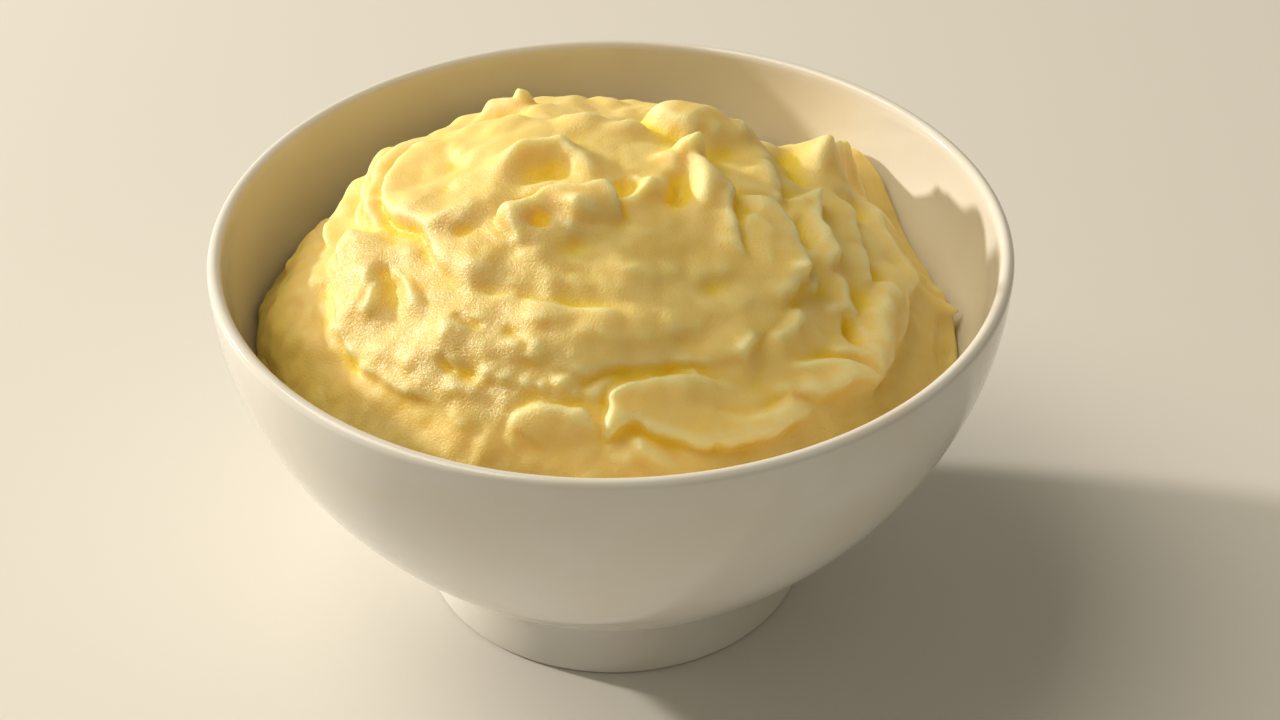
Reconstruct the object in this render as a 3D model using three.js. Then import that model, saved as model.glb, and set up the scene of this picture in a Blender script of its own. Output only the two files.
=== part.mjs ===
// Mashed potato heaped in a white footed bowl. Millimetres, +Z up.
// The origin is on the bowl's axis, in the plane that its foot ring stands on.
// Azimuths run anticlockwise from +X, and the side that faces the eater is -Y.

import * as THREE from 'three';

// ---------------------------------------------------------------------------
// Driving dimensions
// ---------------------------------------------------------------------------

const RIM_RADIUS = 80; // outer edge of the rim
const BOWL_HEIGHT = 84; // top of the rim above the foot
const RIM_THICKNESS = 2.8;
const WALL_THICKNESS_LOW = 5; // where the wall meets the foot ring
const FOOT_RADIUS = 42; // outer edge of the foot ring, at the bottom
const FOOT_NECK_RADIUS = 40.4; // where the ring meets the wall
const FOOT_NECK_HEIGHT = 11.6;
const FOOT_RING_WIDTH = 3.4; // the flat that the bowl stands on
const FOOT_CHAMFER = 0.8;
const RECESS_DEPTH = 8.5; // hollow inside the foot ring
const BOWL_SEGMENTS = 60;
const WALL_SPANS = 8; // straight spans that the curved wall is cut into

const MASH_GAP = 0.4; // clearance between the mash and the bowl
const MOUND_TOP = 100.6; // the smooth mound before its relief
const CONTACT_HEIGHT = 59; // where the mound meets the bowl, on average
const CONTACT_TILT = 2.2; // how much higher that is on one side, and lower on the other
const TILT_AZIMUTH = 210; // degrees to its higher side
const TILT_FADE = 24; // the tilt dies out over this way down the wall
const MOUND_LEAN = new THREE.Vector2(-5, 0.8); // how far its top lies off the bowl's axis

const COARSEST_EDGE = 7.5; // longest mesh edge on the mash's relief
const FINEST_EDGE = 1.7; // edges shorter than this are never split
const CHORD_ERROR = 0.4; // an edge further than this from the true form is split
const START_DETAIL = 10; // rows in each face of the starting icosahedron
const SPLIT_PASSES = 3;

const SMALL_STROKES = 110;
const STROKE_SEED = 21;

// ---------------------------------------------------------------------------
// Bowl
// ---------------------------------------------------------------------------

const vec = (x, y) => new THREE.Vector2(x, y);

/** Outer wall from the foot's neck to just below the rim. */
const outerWall = new THREE.CubicBezierCurve(
  vec(FOOT_NECK_RADIUS, FOOT_NECK_HEIGHT),
  vec(FOOT_NECK_RADIUS + 8.5, FOOT_NECK_HEIGHT + 7.7),
  vec(RIM_RADIUS + 0.4, BOWL_HEIGHT - 39),
  vec(RIM_RADIUS, BOWL_HEIGHT - RIM_THICKNESS / 2),
);

/** The wall thins evenly with height. */
function wallThickness(height) {
  const share = (height - FOOT_NECK_HEIGHT) / (BOWL_HEIGHT - FOOT_NECK_HEIGHT);
  return THREE.MathUtils.lerp(WALL_THICKNESS_LOW, RIM_THICKNESS, THREE.MathUtils.clamp(share, 0, 1));
}

/** Inner wall: the outer one moved in along its normal, bottom first. */
function innerWallPoints() {
  const points = [];
  for (let i = 0; i <= WALL_SPANS; i += 1) {
    const t = i / WALL_SPANS;
    const point = outerWall.getPoint(t);
    const along = outerWall.getTangent(t);
    const inward = vec(-along.y, along.x);
    points.push(point.clone().addScaledVector(inward, wallThickness(point.y)));
  }
  return points;
}

const innerWall = innerWallPoints();
const floorHeight = innerWall[0].y - 1.4; // the inside floor dips a little towards the axis

function bowlProfile() {
  const foot = [
    vec(0, RECESS_DEPTH),
    vec(FOOT_RADIUS - FOOT_RING_WIDTH - 2.4, RECESS_DEPTH - 0.6),
    vec(FOOT_RADIUS - FOOT_RING_WIDTH - FOOT_CHAMFER, 2),
    vec(FOOT_RADIUS - FOOT_RING_WIDTH - FOOT_CHAMFER / 2, 0),
    vec(FOOT_RADIUS - FOOT_CHAMFER, 0),
    vec(FOOT_RADIUS, FOOT_CHAMFER),
    vec(FOOT_RADIUS - 0.4, FOOT_NECK_HEIGHT / 2),
  ];
  const outside = outerWall.getPoints(WALL_SPANS);
  const lip = new THREE.EllipseCurve(
    RIM_RADIUS - RIM_THICKNESS / 2,
    BOWL_HEIGHT - RIM_THICKNESS / 2,
    RIM_THICKNESS / 2,
    RIM_THICKNESS / 2,
    0,
    Math.PI,
  ).getPoints(6);
  const inside = innerWall.slice(0, -1).reverse();
  const floor = [vec(innerWall[0].x * 0.55, floorHeight + 0.3), vec(0, floorHeight)];
  return [...foot, ...outside, ...lip.slice(1), ...inside, ...floor];
}

/** A lathe turns about +Y, so its result is stood up along +Z. */
function makeBowl() {
  return new THREE.LatheGeometry(bowlProfile(), BOWL_SEGMENTS).rotateX(Math.PI / 2);
}

// ---------------------------------------------------------------------------
// The mound: a smooth body of revolution, leaning a little off the axis
// ---------------------------------------------------------------------------

/** Points of a Catmull-Rom line through the given points, evenly many in each span. */
function smoothLine(points, perSpan) {
  const first = points[0].clone().multiplyScalar(2).sub(points[1]);
  const last = points.at(-1).clone().multiplyScalar(2).sub(points.at(-2));
  const held = [first, ...points, last];
  const line = [];
  for (let i = 1; i < held.length - 2; i += 1) {
    for (let k = 0; k < perSpan; k += 1) {
      const t = k / perSpan;
      const [a, b, c, d] = held.slice(i - 1, i + 3);
      line.push(vec(catmullRom(t, a.x, b.x, c.x, d.x), catmullRom(t, a.y, b.y, c.y, d.y)));
    }
  }
  line.push(points.at(-1).clone());
  return line;
}

function catmullRom(t, a, b, c, d) {
  const square = 2 * a - 5 * b + 4 * c - d;
  const cube = -a + 3 * b - 3 * c + d;
  return 0.5 * (2 * b + (c - a) * t + square * t * t + cube * t * t * t);
}

/** A profile that gives radius and height at a distance along it. */
class Profile {
  constructor(points) {
    this.points = points;
    this.at = [0];
    for (let i = 1; i < points.length; i += 1) {
      this.at.push(this.at[i - 1] + points[i].distanceTo(points[i - 1]));
    }
    this.length = this.at.at(-1);
  }

  point(distance) {
    const last = this.points.length - 1;
    let i = 1;
    while (i < last && this.at[i] < distance) i += 1;
    const share = (distance - this.at[i - 1]) / (this.at[i] - this.at[i - 1]);
    return this.points[i - 1].clone().lerp(this.points[i], THREE.MathUtils.clamp(share, 0, 1));
  }
}

/** The bowl's inner radius at a height, less the gap. */
function wallLimit(height) {
  let i = 1;
  while (i < innerWall.length - 1 && innerWall[i].y < height) i += 1;
  const [low, high] = [innerWall[i - 1], innerWall[i]];
  const share = (height - low.y) / (high.y - low.y);
  return THREE.MathUtils.lerp(low.x, high.x, Math.max(share, 0)) - MASH_GAP;
}

const contactRadius = wallLimit(CONTACT_HEIGHT);
const smooth = (share) => THREE.MathUtils.smoothstep(share, 0, 1);

/** The mound's side, from its top to the bowl: round shoulders, then a steep flank. */
const mound = new Profile(smoothLine([
  vec(0, MOUND_TOP),
  vec(12, MOUND_TOP - 1),
  vec(25, MOUND_TOP - 4.4),
  vec(38, MOUND_TOP - 9.6),
  vec(49, MOUND_TOP - 16),
  vec(58, MOUND_TOP - 23.6),
  vec(64.5, MOUND_TOP - 30.8),
  vec(contactRadius - 3.2, CONTACT_HEIGHT + 5),
  vec(contactRadius - 0.6, CONTACT_HEIGHT + 2.6),
  vec(contactRadius, CONTACT_HEIGHT),
], 12));

/** Under the contact line the mash follows the wall down and the floor in. */
function undersideProfile() {
  const wall = innerWall.filter((point) => point.y > innerWall[0].y + 3 && point.y < CONTACT_HEIGHT - 4);
  const down = wall.reverse().map((point) => vec(point.x - MASH_GAP, point.y + MASH_GAP / 2));
  return new Profile([
    mound.points.at(-1),
    ...down,
    vec(innerWall[0].x - 3, innerWall[0].y + 1.6),
    vec(innerWall[0].x * 0.5, floorHeight + 1.2),
    vec(0, floorHeight + 0.8),
  ]);
}

const underside = undersideProfile();

/** A profile's point at an azimuth, raised or lowered with the tilt of the contact line. */
function tilted({ x: radius, y: height }, turn, share) {
  const lift = CONTACT_TILT * Math.cos(turn - THREE.MathUtils.degToRad(TILT_AZIMUTH)) * share;
  const widening = share * (wallLimit(height + lift) - wallLimit(height));
  return { radius: radius + widening, height: height + lift };
}

/** The smooth mound at (x, y), measured along its surface from its top. */
function moundPoint(x, y) {
  const reach = Math.hypot(x, y);
  const turn = Math.atan2(y, x);
  const edgeShare = smooth((reach / mound.length - 0.55) / 0.45);
  const { radius, height } = tilted(mound.point(reach), turn, edgeShare);
  const lean = Math.max(0, 1 - (reach / mound.length) ** 2);
  return new THREE.Vector3(
    radius * Math.cos(turn) + MOUND_LEAN.x * lean,
    radius * Math.sin(turn) + MOUND_LEAN.y * lean,
    height,
  );
}

/** The underside at a distance from the contact line, measured down along the wall and floor. */
function undersidePoint(distance, turn) {
  const { radius, height } = tilted(underside.point(distance), turn, 1 - smooth(distance / TILT_FADE));
  return new THREE.Vector3(radius * Math.cos(turn), radius * Math.sin(turn), height);
}

// ---------------------------------------------------------------------------
// Relief: what the spoon left. All places are in mm along the mound's surface,
// from its top: x to the right, y away from the eater.
// ---------------------------------------------------------------------------

/** Both ends of a stroke fade out over the given shares of its length. */
const fade = (share, [start, end]) => smooth(share / start) * smooth((1 - share) / end);

/** The smooth line through a stroke's points, with its distances along it. */
const strokeLine = (path) => new Profile(smoothLine(path.map(([x, y]) => vec(x, y)), 6));

/** Where a point lies beside a line: signed distance (left is positive), share along, left normal. */
function beside(line, x, y) {
  let best = { square: Infinity };
  for (let i = 1; i < line.points.length; i += 1) {
    const [from, to] = [line.points[i - 1], line.points[i]];
    const length = line.at[i] - line.at[i - 1];
    const [dx, dy] = [(to.x - from.x) / length, (to.y - from.y) / length];
    const along = THREE.MathUtils.clamp((x - from.x) * dx + (y - from.y) * dy, 0, length);
    const [ex, ey] = [x - from.x - along * dx, y - from.y - along * dy];
    const square = ex * ex + ey * ey;
    if (square < best.square) {
      const side = dx * (y - from.y) - dy * (x - from.x) < 0 ? -1 : 1;
      best = { square, side, share: (line.at[i - 1] + along) / line.length, nx: -dy, ny: dx };
    }
  }
  return { distance: Math.sqrt(best.square) * best.side, ...best };
}

/** A form that leaves alone what is further than a margin from its points. */
function within(points, margin, press) {
  const box = new THREE.Box2().setFromPoints(points.map(([x, y]) => vec(x, y))).expandByScalar(margin);
  return (x, y) => (box.containsPoint(vec(x, y)) ? press(x, y) : [0, 0, 0]);
}

/** A stroke's edge: the surface left of the path stands proud and leans over the right side. */
function fold(path, rise, { back = 10, lean = 0.8, soft = 0.8, trough = 0.6, ends = [0.2, 0.2] } = {}) {
  const line = strokeLine(path);
  return within(path, 2.2 * back + 3, (x, y) => {
    const { distance, share, nx, ny } = beside(line, x, y);
    const strength = fade(share, ends);
    const step = 0.5 * (1 + Math.tanh((1.5 * distance) / soft));
    const behind = Math.max(distance, 0);
    const dip = trough * Math.exp(-(((distance + 1.6 * soft) / (1.6 * soft)) ** 2));
    const push = strength * lean * step * Math.exp(-((behind / (3 * soft + 1)) ** 2));
    return [strength * (rise * step * Math.exp(-((behind / back) ** 2)) - dip), -push * nx, -push * ny];
  });
}

/** A raised line, or with a negative rise a groove, with its own width on each side: left, right. */
function ridge(path, rise, { width = [2, 2], lean = [0, 0], ends = [0.25, 0.25], power = 1.6 } = {}) {
  const line = strokeLine(path);
  return within(path, 3.2 * Math.max(...width), (x, y) => {
    const { distance, share } = beside(line, x, y);
    const reach = Math.abs(distance) / width[distance > 0 ? 0 : 1];
    const strength = fade(share, ends) * Math.exp(-(reach ** power));
    return [rise * strength, lean[0] * strength, lean[1] * strength];
  });
}

/** A ridge that climbs along its path to a rounded end and hooks over. */
function wave(path, rise, { width = 3, lean = [0, 0], power = 2.4 } = {}) {
  const line = strokeLine(path);
  return within(path, 3.2 * width, (x, y) => {
    const { distance, share } = beside(line, x, y);
    const reach = Math.abs(distance) / (width * (1.25 - 0.35 * share));
    const strength = smooth(share / 0.95) * Math.exp(-(reach ** power));
    const hook = strength ** 2 * share;
    return [rise * strength, lean[0] * hook, lean[1] * hook];
  });
}

/** Distance from a centre in units of an ellipse's half axes, turned by some degrees. */
function ellipseDistance([cx, cy], [a, b], turn, x, y) {
  const angle = THREE.MathUtils.degToRad(turn);
  const [dx, dy] = [x - cx, y - cy];
  const [c, s] = [Math.cos(angle), Math.sin(angle)];
  return Math.hypot((dx * c + dy * s) / a, (-dx * s + dy * c) / b);
}

/** A lump, or with a negative rise a pit. A power over 1 steepens its side. */
function lump(centre, size, rise, { turn = 0, power = 1 } = {}) {
  return within([centre], 2.6 * Math.max(...size), (x, y) => {
    const reach = ellipseDistance(centre, size, turn, x, y);
    return [rise * Math.exp(-(reach ** (2 * power))), 0, 0];
  });
}

/** A tip drawn up by the spoon, which leans. */
function tip(centre, size, rise, { lean = [0, 0], turn = 0 } = {}) {
  return within([centre], Math.max(...size), (x, y) => {
    const square = ellipseDistance(centre, size, turn, x, y) ** 2;
    const strength = Math.max(1 - square, 0) ** 2 / (1 + 4 * square);
    return [rise * strength, lean[0] * strength, lean[1] * strength];
  });
}

const leftSide = [
  // the upper layer's edge over the smooth skirt, round to the front
  fold([[-47, 0], [-51, -4], [-53, -11], [-53, -19], [-52, -27], [-49.5, -34], [-45.5, -41], [-40, -47],
    [-35, -52], [-29, -57], [-22, -62]], 3.6,
    { back: 13, lean: 1.3, soft: 0.7, trough: 0.9, ends: [0.05, 0.12] }),
  // upright folds high on the left
  fold([[-38, 27], [-42.5, 20], [-43.5, 10], [-43, 2], [-45, -5], [-46, -12], [-45, -18]], 3,
    { back: 9, lean: 1.2, soft: 1.1 }),
  fold([[-44, 22], [-47.5, 14], [-49, 6], [-49.5, -2], [-49, -9]], 2.6, { back: 6, lean: 1, soft: 0.9 }),
  fold([[-31, 23], [-36, 14], [-38.5, 4], [-39, -4], [-37, -11], [-33, -15], [-31.5, -19], [-32, -24],
    [-29, -29], [-22, -34]], 2.6, { back: 9, lean: 1.3, soft: 0.6, trough: 1.2, ends: [0.15, 0.2] }),
  // the lobe with a pointed corner, and the hollow beside it
  fold([[-42, -7], [-47, -6], [-52, -9], [-50.5, -15], [-48, -21]], 2.2,
    { back: 7, lean: 1.4, soft: 0.55, trough: 0.7, ends: [0.2, 0.25] }),
  lump([-42, -26.5], [3.6, 5.6], -5, { turn: 20, power: 1.7 }),
  ridge([[-49, -19], [-47.8, -25], [-46.5, -32]], 1.7, { width: [1.5, 1.8], lean: [-0.5, 0] }),
  ridge([[-46.6, -21], [-45, -27], [-43.5, -33]], 1.3, { width: [1.2, 1.4] }),
  lump([-24.5, -20], [2.8, 2], -1.9, { power: 1.3 }),
];

const top = [
  // open hollow with a thin raised rim behind it
  ridge([[-27, -6], [-24, -2], [-20, 2], [-15, 4.6], [-12.5, 5], [-10.5, 4.6], [-7, 5.2], [-4.2, 4.2],
    [-1.5, 1.2], [1, -2.2], [4.5, -5.5]], 4,
    { width: [5, 3.6], lean: [0, -0.5], ends: [0.2, 0.25], power: 1.25 }),
  lump([-8, -7], [10.5, 6.5], -4, { turn: 6, power: 1.4 }),
  lump([-15, -12.2], [5.5, 1.7], -2.2, { turn: 5, power: 1.3 }),
  fold([[-9.5, -15.6], [-13, -14.4], [-17, -14.8], [-20.5, -17.5]], 2, { back: 6, lean: 0.7, trough: 0.3 }),
  // the flap in front, the small hollow to its right, the pit below
  fold([[18, -12.5], [12.5, -13.6], [7.8, -14.6], [5.2, -13], [3.2, -11.2], [-3, -12.3], [-8, -14.3],
    [-11, -17]], 2.9, { back: 9, lean: 1.3, soft: 0.5, trough: 0.7, ends: [0.2, 0.14] }),
  lump([8.2, -9], [2.9, 3.8], -3.6, { power: 1.7 }),
  ridge([[7, -14.5], [10.5, -13.8], [12.3, -10], [10.8, -5.2]], 1.9, { width: [1.1, 1.5] }),
  lump([8.9, -4.4], [1, 1], 1.2),
  lump([-9, -21], [2.6, 2], -4.8, { power: 1.9 }),
  // the curl: a wave drawn up to the left
  wave([[29.5, -20], [28, -12], [25.5, -4.5], [22.8, 2.2]], 6.4, { width: 4.1, lean: [-3.2, -0.8] }),
  ridge([[29.5, -19], [28.4, -12], [27.2, -5], [26, 2]], 1.6, { width: [1.8, 1.1], lean: [0.6, 0] }),
  ridge([[24, -13], [23.6, -7], [22.3, -1]], 1.3, { width: [1.4, 1.6] }),
  lump([19.5, -8.5], [3.6, 4.5], -2.2, { power: 1.3 }),
  // smooth lobe behind the curl
  lump([23, 14], [10.5, 8.5], 3.2, { turn: -8, power: 1.6 }),
  fold([[37, -5], [38, 3], [35.5, 11], [28, 20]], 2.8, { back: 9, lean: 1, soft: 1, trough: 1 }),
  // small swells and the edges of shallow sweeps
  lump([0, 12], [4, 2.6], 1.2, { turn: 10, power: 1.2 }),
  lump([7.5, 11], [5, 2.6], 1.3, { turn: 20, power: 1.3 }),
  fold([[15, 9], [8, 14.5], [0, 16.5], [-8, 15.5]], 1.1, { back: 7, lean: 0.6, trough: 0.4 }),
  fold([[-9, 16.5], [-18, 20], [-25, 19], [-33, 15]], 1.1, { back: 8, lean: 0.6, soft: 0.7, trough: 0.4 }),
  lump([-13.8, 33], [1.8, 1.8], 3, { power: 1.4 }),
  lump([-19.5, 32], [5, 3.2], 2.2, { turn: -10, power: 1.5 }),
  lump([-19, 27], [5, 2], -1, { power: 1.2 }),
  lump([-28, 10], [9, 5], -0.9, { turn: 40 }),
];

const rightSide = [
  // the dome's outer edge over the right side, with thinner layers on it
  fold([[39, -31], [41.5, -24.5], [40, -17], [36, -11], [30, -7.5], [24, -6]], 3.2,
    { back: 9, lean: 1.5, soft: 0.5, trough: 1.2 }),
  fold([[34, -29], [35.5, -23], [33.5, -17.5], [30, -14.5], [26, -14.5]], 1.6,
    { back: 5, lean: 0.9, soft: 0.5, trough: 0.4 }),
  fold([[30, -27], [31, -21], [28, -17.5]], 1, { back: 4, lean: 0.6, soft: 0.5 }),
  ridge([[35, -3.5], [39.5, -0.5], [44, 1.5]], 1.5, { width: [1, 1.5] }),
  lump([41.2, -15], [2.5, 6], -3.2, { turn: 15, power: 1.5 }),
  // upright ridge with a spiky top
  ridge([[43, 3], [44.5, -3], [45, -9], [47.5, -13.5], [51, -17.5]], 4,
    { width: [3.2, 1.6], lean: [0.8, 0], ends: [0.12, 0.2], power: 1.3 }),
  ridge([[50, -17.5], [51.3, -23], [50.5, -29]], 1.8, { width: [1.8, 1.3], lean: [0.5, 0] }),
  ridge([[60, -7], [60, -14], [58, -20]], 1.8, { width: [1.8, 1.3], lean: [0.5, 0] }),
  ridge([[56, 12], [59, 5], [61, -1], [62, -7]], 2.2, { width: [2.2, 1.5] }),
  lump([43.5, -26], [2.4, 1.2], 1.5, { turn: 10, power: 1.2 }),
  // the blunt peak far right and the hollow before it
  lump([54, 26], [7.5, 8], 3.2, { turn: 20, power: 1.5 }),
  lump([58, 28], [5, 6], 3.4, { power: 1.3 }),
  lump([62, 28], [6, 9], 1.6, { turn: 10, power: 1.3 }),
  wave([[57, 11], [55, 18], [51.5, 25]], 3, { lean: [-0.6, 0.4] }),
  lump([44, 16], [6, 6.5], -2.8, { power: 1.3 }),
  ridge([[37, 21], [43, 26], [49, 28]], 1.4, { width: [2.6, 2] }),
  lump([61, 14], [2.2, 3.2], -2.6, { power: 1.5 }),
  lump([57.5, -12], [2.2, 3.2], -2.8, { power: 1.6 }),
  lump([56.5, -21.5], [2.6, 2], -3, { power: 1.6 }),
  // the strap, its hole and the small webs
  ridge([[64, -11], [61.5, -19], [58.5, -27], [58, -34], [54, -41]], 3,
    { width: [1.9, 2.2], lean: [0.4, 0] }),
  tip([63.5, -13], [2.4, 3], 2.2, { lean: [0.5, 0.5] }),
  lump([52.5, -34.5], [1.8, 3.2], -6.5, { turn: 8, power: 1.9 }),
  ridge([[46, -33], [50, -30.5], [55, -29]], 1.4, { width: [1.3, 1.3] }),
  ridge([[47, -42], [50.5, -39.5], [55, -38]], 1.2, { width: [1.2, 1.2] }),
  ridge([[45.5, -29], [40.5, -34.5], [35.5, -40]], 2.3, { width: [1.3, 2.6] }),
  fold([[36, -33], [42, -26.5], [47, -20.5]], 1.2, { back: 5, lean: 0.7, soft: 0.5, trough: 0.5 }),
  // the right skirt's edge and its knobs
  fold([[46, -52], [54, -45], [61, -35], [65, -25], [68, -12], [71, 0], [69, 14]], 2.8,
    { back: 7, lean: 1, soft: 0.7, trough: 0.8 }),
  ridge([[66, -2], [69, -12], [70, -22]], 1.4),
  lump([42, 35], [8, 8], -2.6, { power: 1.2 }),
  lump([-73, 22], [9, 15], -2.4, { turn: -15, power: 1.3 }),
  tip([80.5, 0], [6, 4], 3, { lean: [3.8, 0.5] }),
  tip([76, 10], [5, 4], 1.4, { lean: [2, 0] }),
];

const front = [
  // flat slab with a pointed left corner, and the flap beyond it
  fold([[20, -49.5], [15, -53.5], [10, -54.3], [5.2, -54.6], [3, -58.5], [0.8, -64.5], [4.5, -61.8],
    [7.5, -63.8], [12, -64.8], [17, -65.2], [22, -65], [30, -62.2], [37, -58], [45, -52]], 3.4,
    { lean: 1.5, soft: 0.45, trough: 0.8, ends: [0.1, 0.12] }),
  fold([[38, -56], [45, -51], [50, -47], [55, -42], [49.5, -41], [44, -43], [38, -46]], 3,
    { back: 6, lean: 1.2, soft: 0.45, trough: 0.8, ends: [0.25, 0.2] }),
  wave([[18, -72.5], [13, -70], [8, -66]], 3, { width: 1.9, lean: [0, 0.3] }),
  lump([4, -70.5], [2.6, 1.6], 1.2),
  lump([-2, -71.5], [2.4, 1.4], 0.9),
  tip([20, -50.5], [1.8, 1.8], 1.8, { lean: [-0.4, 0.4] }),
  // lobe at the left
  lump([-9, -63.3], [10.5, 4.2], 1.9, { turn: -5, power: 2.4 }),
  fold([[-12, -58.8], [-18.5, -60], [-20.3, -62.8], [-18, -65.8], [-10, -68], [2, -68.2]], 1.1,
    { back: 6, lean: 0.9, soft: 0.6, trough: 0.5, ends: [0.25, 0.35] }),
  ridge([[-18, -55.5], [-9, -58.2], [0, -61]], -1.3, { width: [1.5, 1.5] }),
  // bands round the middle
  fold([[9, -41.5], [0, -41], [-8, -39], [-17, -36], [-26, -30]], 2,
    { back: 8, lean: 0.9, soft: 0.6, trough: 1.1 }),
  fold([[-22, -50], [-10, -50.5], [2, -52.7], [8, -51.3], [14, -50], [20.5, -49], [28, -45], [33, -40],
    [36, -32]], 2.6, { lean: 1.4, soft: 0.55, trough: 0.9 }),
  fold([[-8, -45.5], [4, -46.5], [16, -44.5], [26, -39]], 1.1, { back: 7, lean: 0.5, trough: 0.4 }),
  lump([24.8, -32.5], [4.6, 2.2], -2.3, { turn: 12, power: 1.3 }),
  wave([[46, -30], [42, -34], [36.5, -39]], 1.4, { width: 2, lean: [0, -0.6] }),
  lump([-6.5, -53.6], [1.9, 1.4], 1.7, { power: 1.2 }),
  lump([-14, -54.6], [1.7, 1.4], 1.4, { power: 1.2 }),
  lump([-10.5, -55], [1.2, 1.1], 1),
  lump([-17.5, -53], [1.4, 1.2], 1),
  lump([-26.5, -49.7], [2.6, 1.3], -2.6, { turn: -20, power: 1.5 }),
  lump([-22.5, -51.8], [2.6, 1.1], -2.4, { turn: -30, power: 1.5 }),
  lump([-14, -46.5], [3.6, 1.4], -1.8, { turn: -20, power: 1.4 }),
  lump([-41, -57], [3, 1.2], -1.6, { turn: 20 }),
  ridge([[-34, -36], [-30, -44], [-24, -48]], 1.4, { width: [1.8, 1.8] }),
  ridge([[-40, -37], [-37, -44], [-31, -50]], 1.3, { width: [1.8, 1.6] }),
  ridge([[-28, -36], [-24, -42], [-19, -45]], 1.1, { width: [1.5, 1.5] }),
  ridge([[-46, -38], [-41, -44], [-35, -49]], 1.1, { width: [1.8, 1.8] }),
  lump([-35, -41], [2.2, 1.6], -1.4, { turn: 30, power: 1.2 }),
  lump([-28, -43], [2, 1.4], -1.3, { turn: 20, power: 1.2 }),
];

const back = [
  fold([[68, 30], [60, 44], [48, 56], [30, 66]], 2.2, { back: 6, lean: 1.2, soft: 0.7, trough: 0.8 }),
  fold([[34, 50], [14, 60], [-12, 62], [-34, 54], [-48, 42]], 1.8,
    { back: 6, lean: 1.2, soft: 0.7, trough: 0.8 }),
  fold([[20, 70], [0, 74], [-24, 70], [-46, 58], [-62, 42]], 2.6,
    { back: 8, lean: 1.4, soft: 0.7, trough: 0.8 }),
  fold([[56, 54], [42, 68], [22, 77], [4, 80]], 2.2, { back: 6, lean: 1.2, soft: 0.7, trough: 0.8 }),
  ridge([[-10, 52], [-2, 58], [8, 64]], 1.4, { width: [2.4, 2.4] }),
  ridge([[-38, 60], [-24, 68], [-8, 70]], 1.8, { width: [2.4, 2.4] }),
  lump([28, 52], [6, 4], -2.4, { turn: -30 }),
  lump([-28, 54], [6, 3.5], -2.2, { turn: 30 }),
  lump([0, 62], [5, 3], 2.2),
  wave([[18, 76], [28, 74], [38, 68]], 2.6, { lean: [2, 1] }),
  lump([36, 55], [16, 9], -4.2, { turn: -35, power: 1.3 }),
  lump([-41, 47], [10, 7], -1.8, { turn: 35, power: 1.2 }),
  tip([33, 36], [1.6, 1.8], 3.4),
];

/** A repeatable random number from 0 to 1 at each corner of a grid. */
function cornerValue(column, row, seed) {
  const value = Math.sin(column * 127.1 + row * 311.7 + seed * 74.7) * 43758.5453;
  return value - Math.floor(value);
}

/** One of the short shallow strokes between the main ones, on an arc round the top. */
function smallStroke(index) {
  const [out, round, long, across, high, wide] = [1, 2, 3, 4, 5, 6].map((row) => (
    cornerValue(index, row, STROKE_SEED)
  ));
  const radius = 14 + 52 * Math.sqrt(out);
  const span = (7 + 13 * long) / radius;
  const path = [-1, 0, 1].map((k) => {
    const reach = radius + 5 * (across - 0.5) * k + 1.5 * (1 - Math.abs(k));
    const turn = 2 * Math.PI * round + (span * k) / 2;
    return [reach * Math.cos(turn), reach * Math.sin(turn)];
  });
  const back = 3 + 3 * wide;
  return fold(path, 0.5 + 0.9 * high, { back, lean: 0.6, soft: 0.4, trough: 0.4, ends: [0.35, 0.35] });
}

const smallStrokes = Array.from({ length: SMALL_STROKES }, (_, index) => smallStroke(index));
const forms = [...leftSide, ...top, ...rightSide, ...front, ...back, ...smallStrokes];

/** Smooth seeded noise from -1 to 1 with cells of the given size. */
function noise(x, y, cell, seed) {
  const [column, row] = [Math.floor(x / cell), Math.floor(y / cell)];
  const [u, v] = [smooth(x / cell - column), smooth(y / cell - row)];
  const near = THREE.MathUtils.lerp(cornerValue(column, row, seed), cornerValue(column + 1, row, seed), u);
  const far = THREE.MathUtils.lerp(
    cornerValue(column, row + 1, seed),
    cornerValue(column + 1, row + 1, seed),
    u,
  );
  return 2 * THREE.MathUtils.lerp(near, far, v) - 1;
}

/** The same kind of noise stretched along the spoon's way round, which drifts outwards as it turns. */
function swirl(x, y, columns, cell, seed) {
  const turn = Math.atan2(y, x);
  const place = (turn / (2 * Math.PI) + 0.5) * columns;
  const across = (Math.hypot(x, y) + 1.2 * turn) / cell;
  const [column, row] = [Math.floor(place), Math.floor(across)];
  const [u, v] = [smooth(place - column), smooth(across - row)];
  const corner = (i, j) => cornerValue(THREE.MathUtils.euclideanModulo(column + i, columns), row + j, seed);
  const inner = THREE.MathUtils.lerp(corner(0, 0), corner(1, 0), u);
  const outer = THREE.MathUtils.lerp(corner(0, 1), corner(1, 1), u);
  return 2 * THREE.MathUtils.lerp(inner, outer, v) - 1;
}

/** Height above the smooth mound and the sideways push, at a place on it. */
function relief(x, y) {
  const wanderX = x + 0.9 * noise(x, y, 7, 1) + 0.35 * noise(x, y, 2.6, 2);
  const wanderY = y + 0.9 * noise(x, y, 7, 3) + 0.35 * noise(x, y, 2.6, 4);
  const bands = smooth((Math.hypot(x, y) - 12) / 14) * 0.5 * swirl(x, y, 18, 6.5, 11);
  const sum = [0.8 * noise(x, y, 19, 5) + 0.45 * noise(x, y, 9, 6) + bands, 0, 0];
  for (const form of forms) {
    form(wanderX, wanderY).forEach((value, i) => {
      sum[i] += value;
    });
  }
  return sum;
}

// ---------------------------------------------------------------------------
// Mash: a sphere's directions mapped onto the mound and the underside
// ---------------------------------------------------------------------------

const TOP_SHARE = 0.72; // share of the sphere, from pole to pole, that the mound takes
const EDGE_FADE = 6; // the relief dies out over this width at the wall
const STEP = 0.5; // for slopes taken by differences

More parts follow.
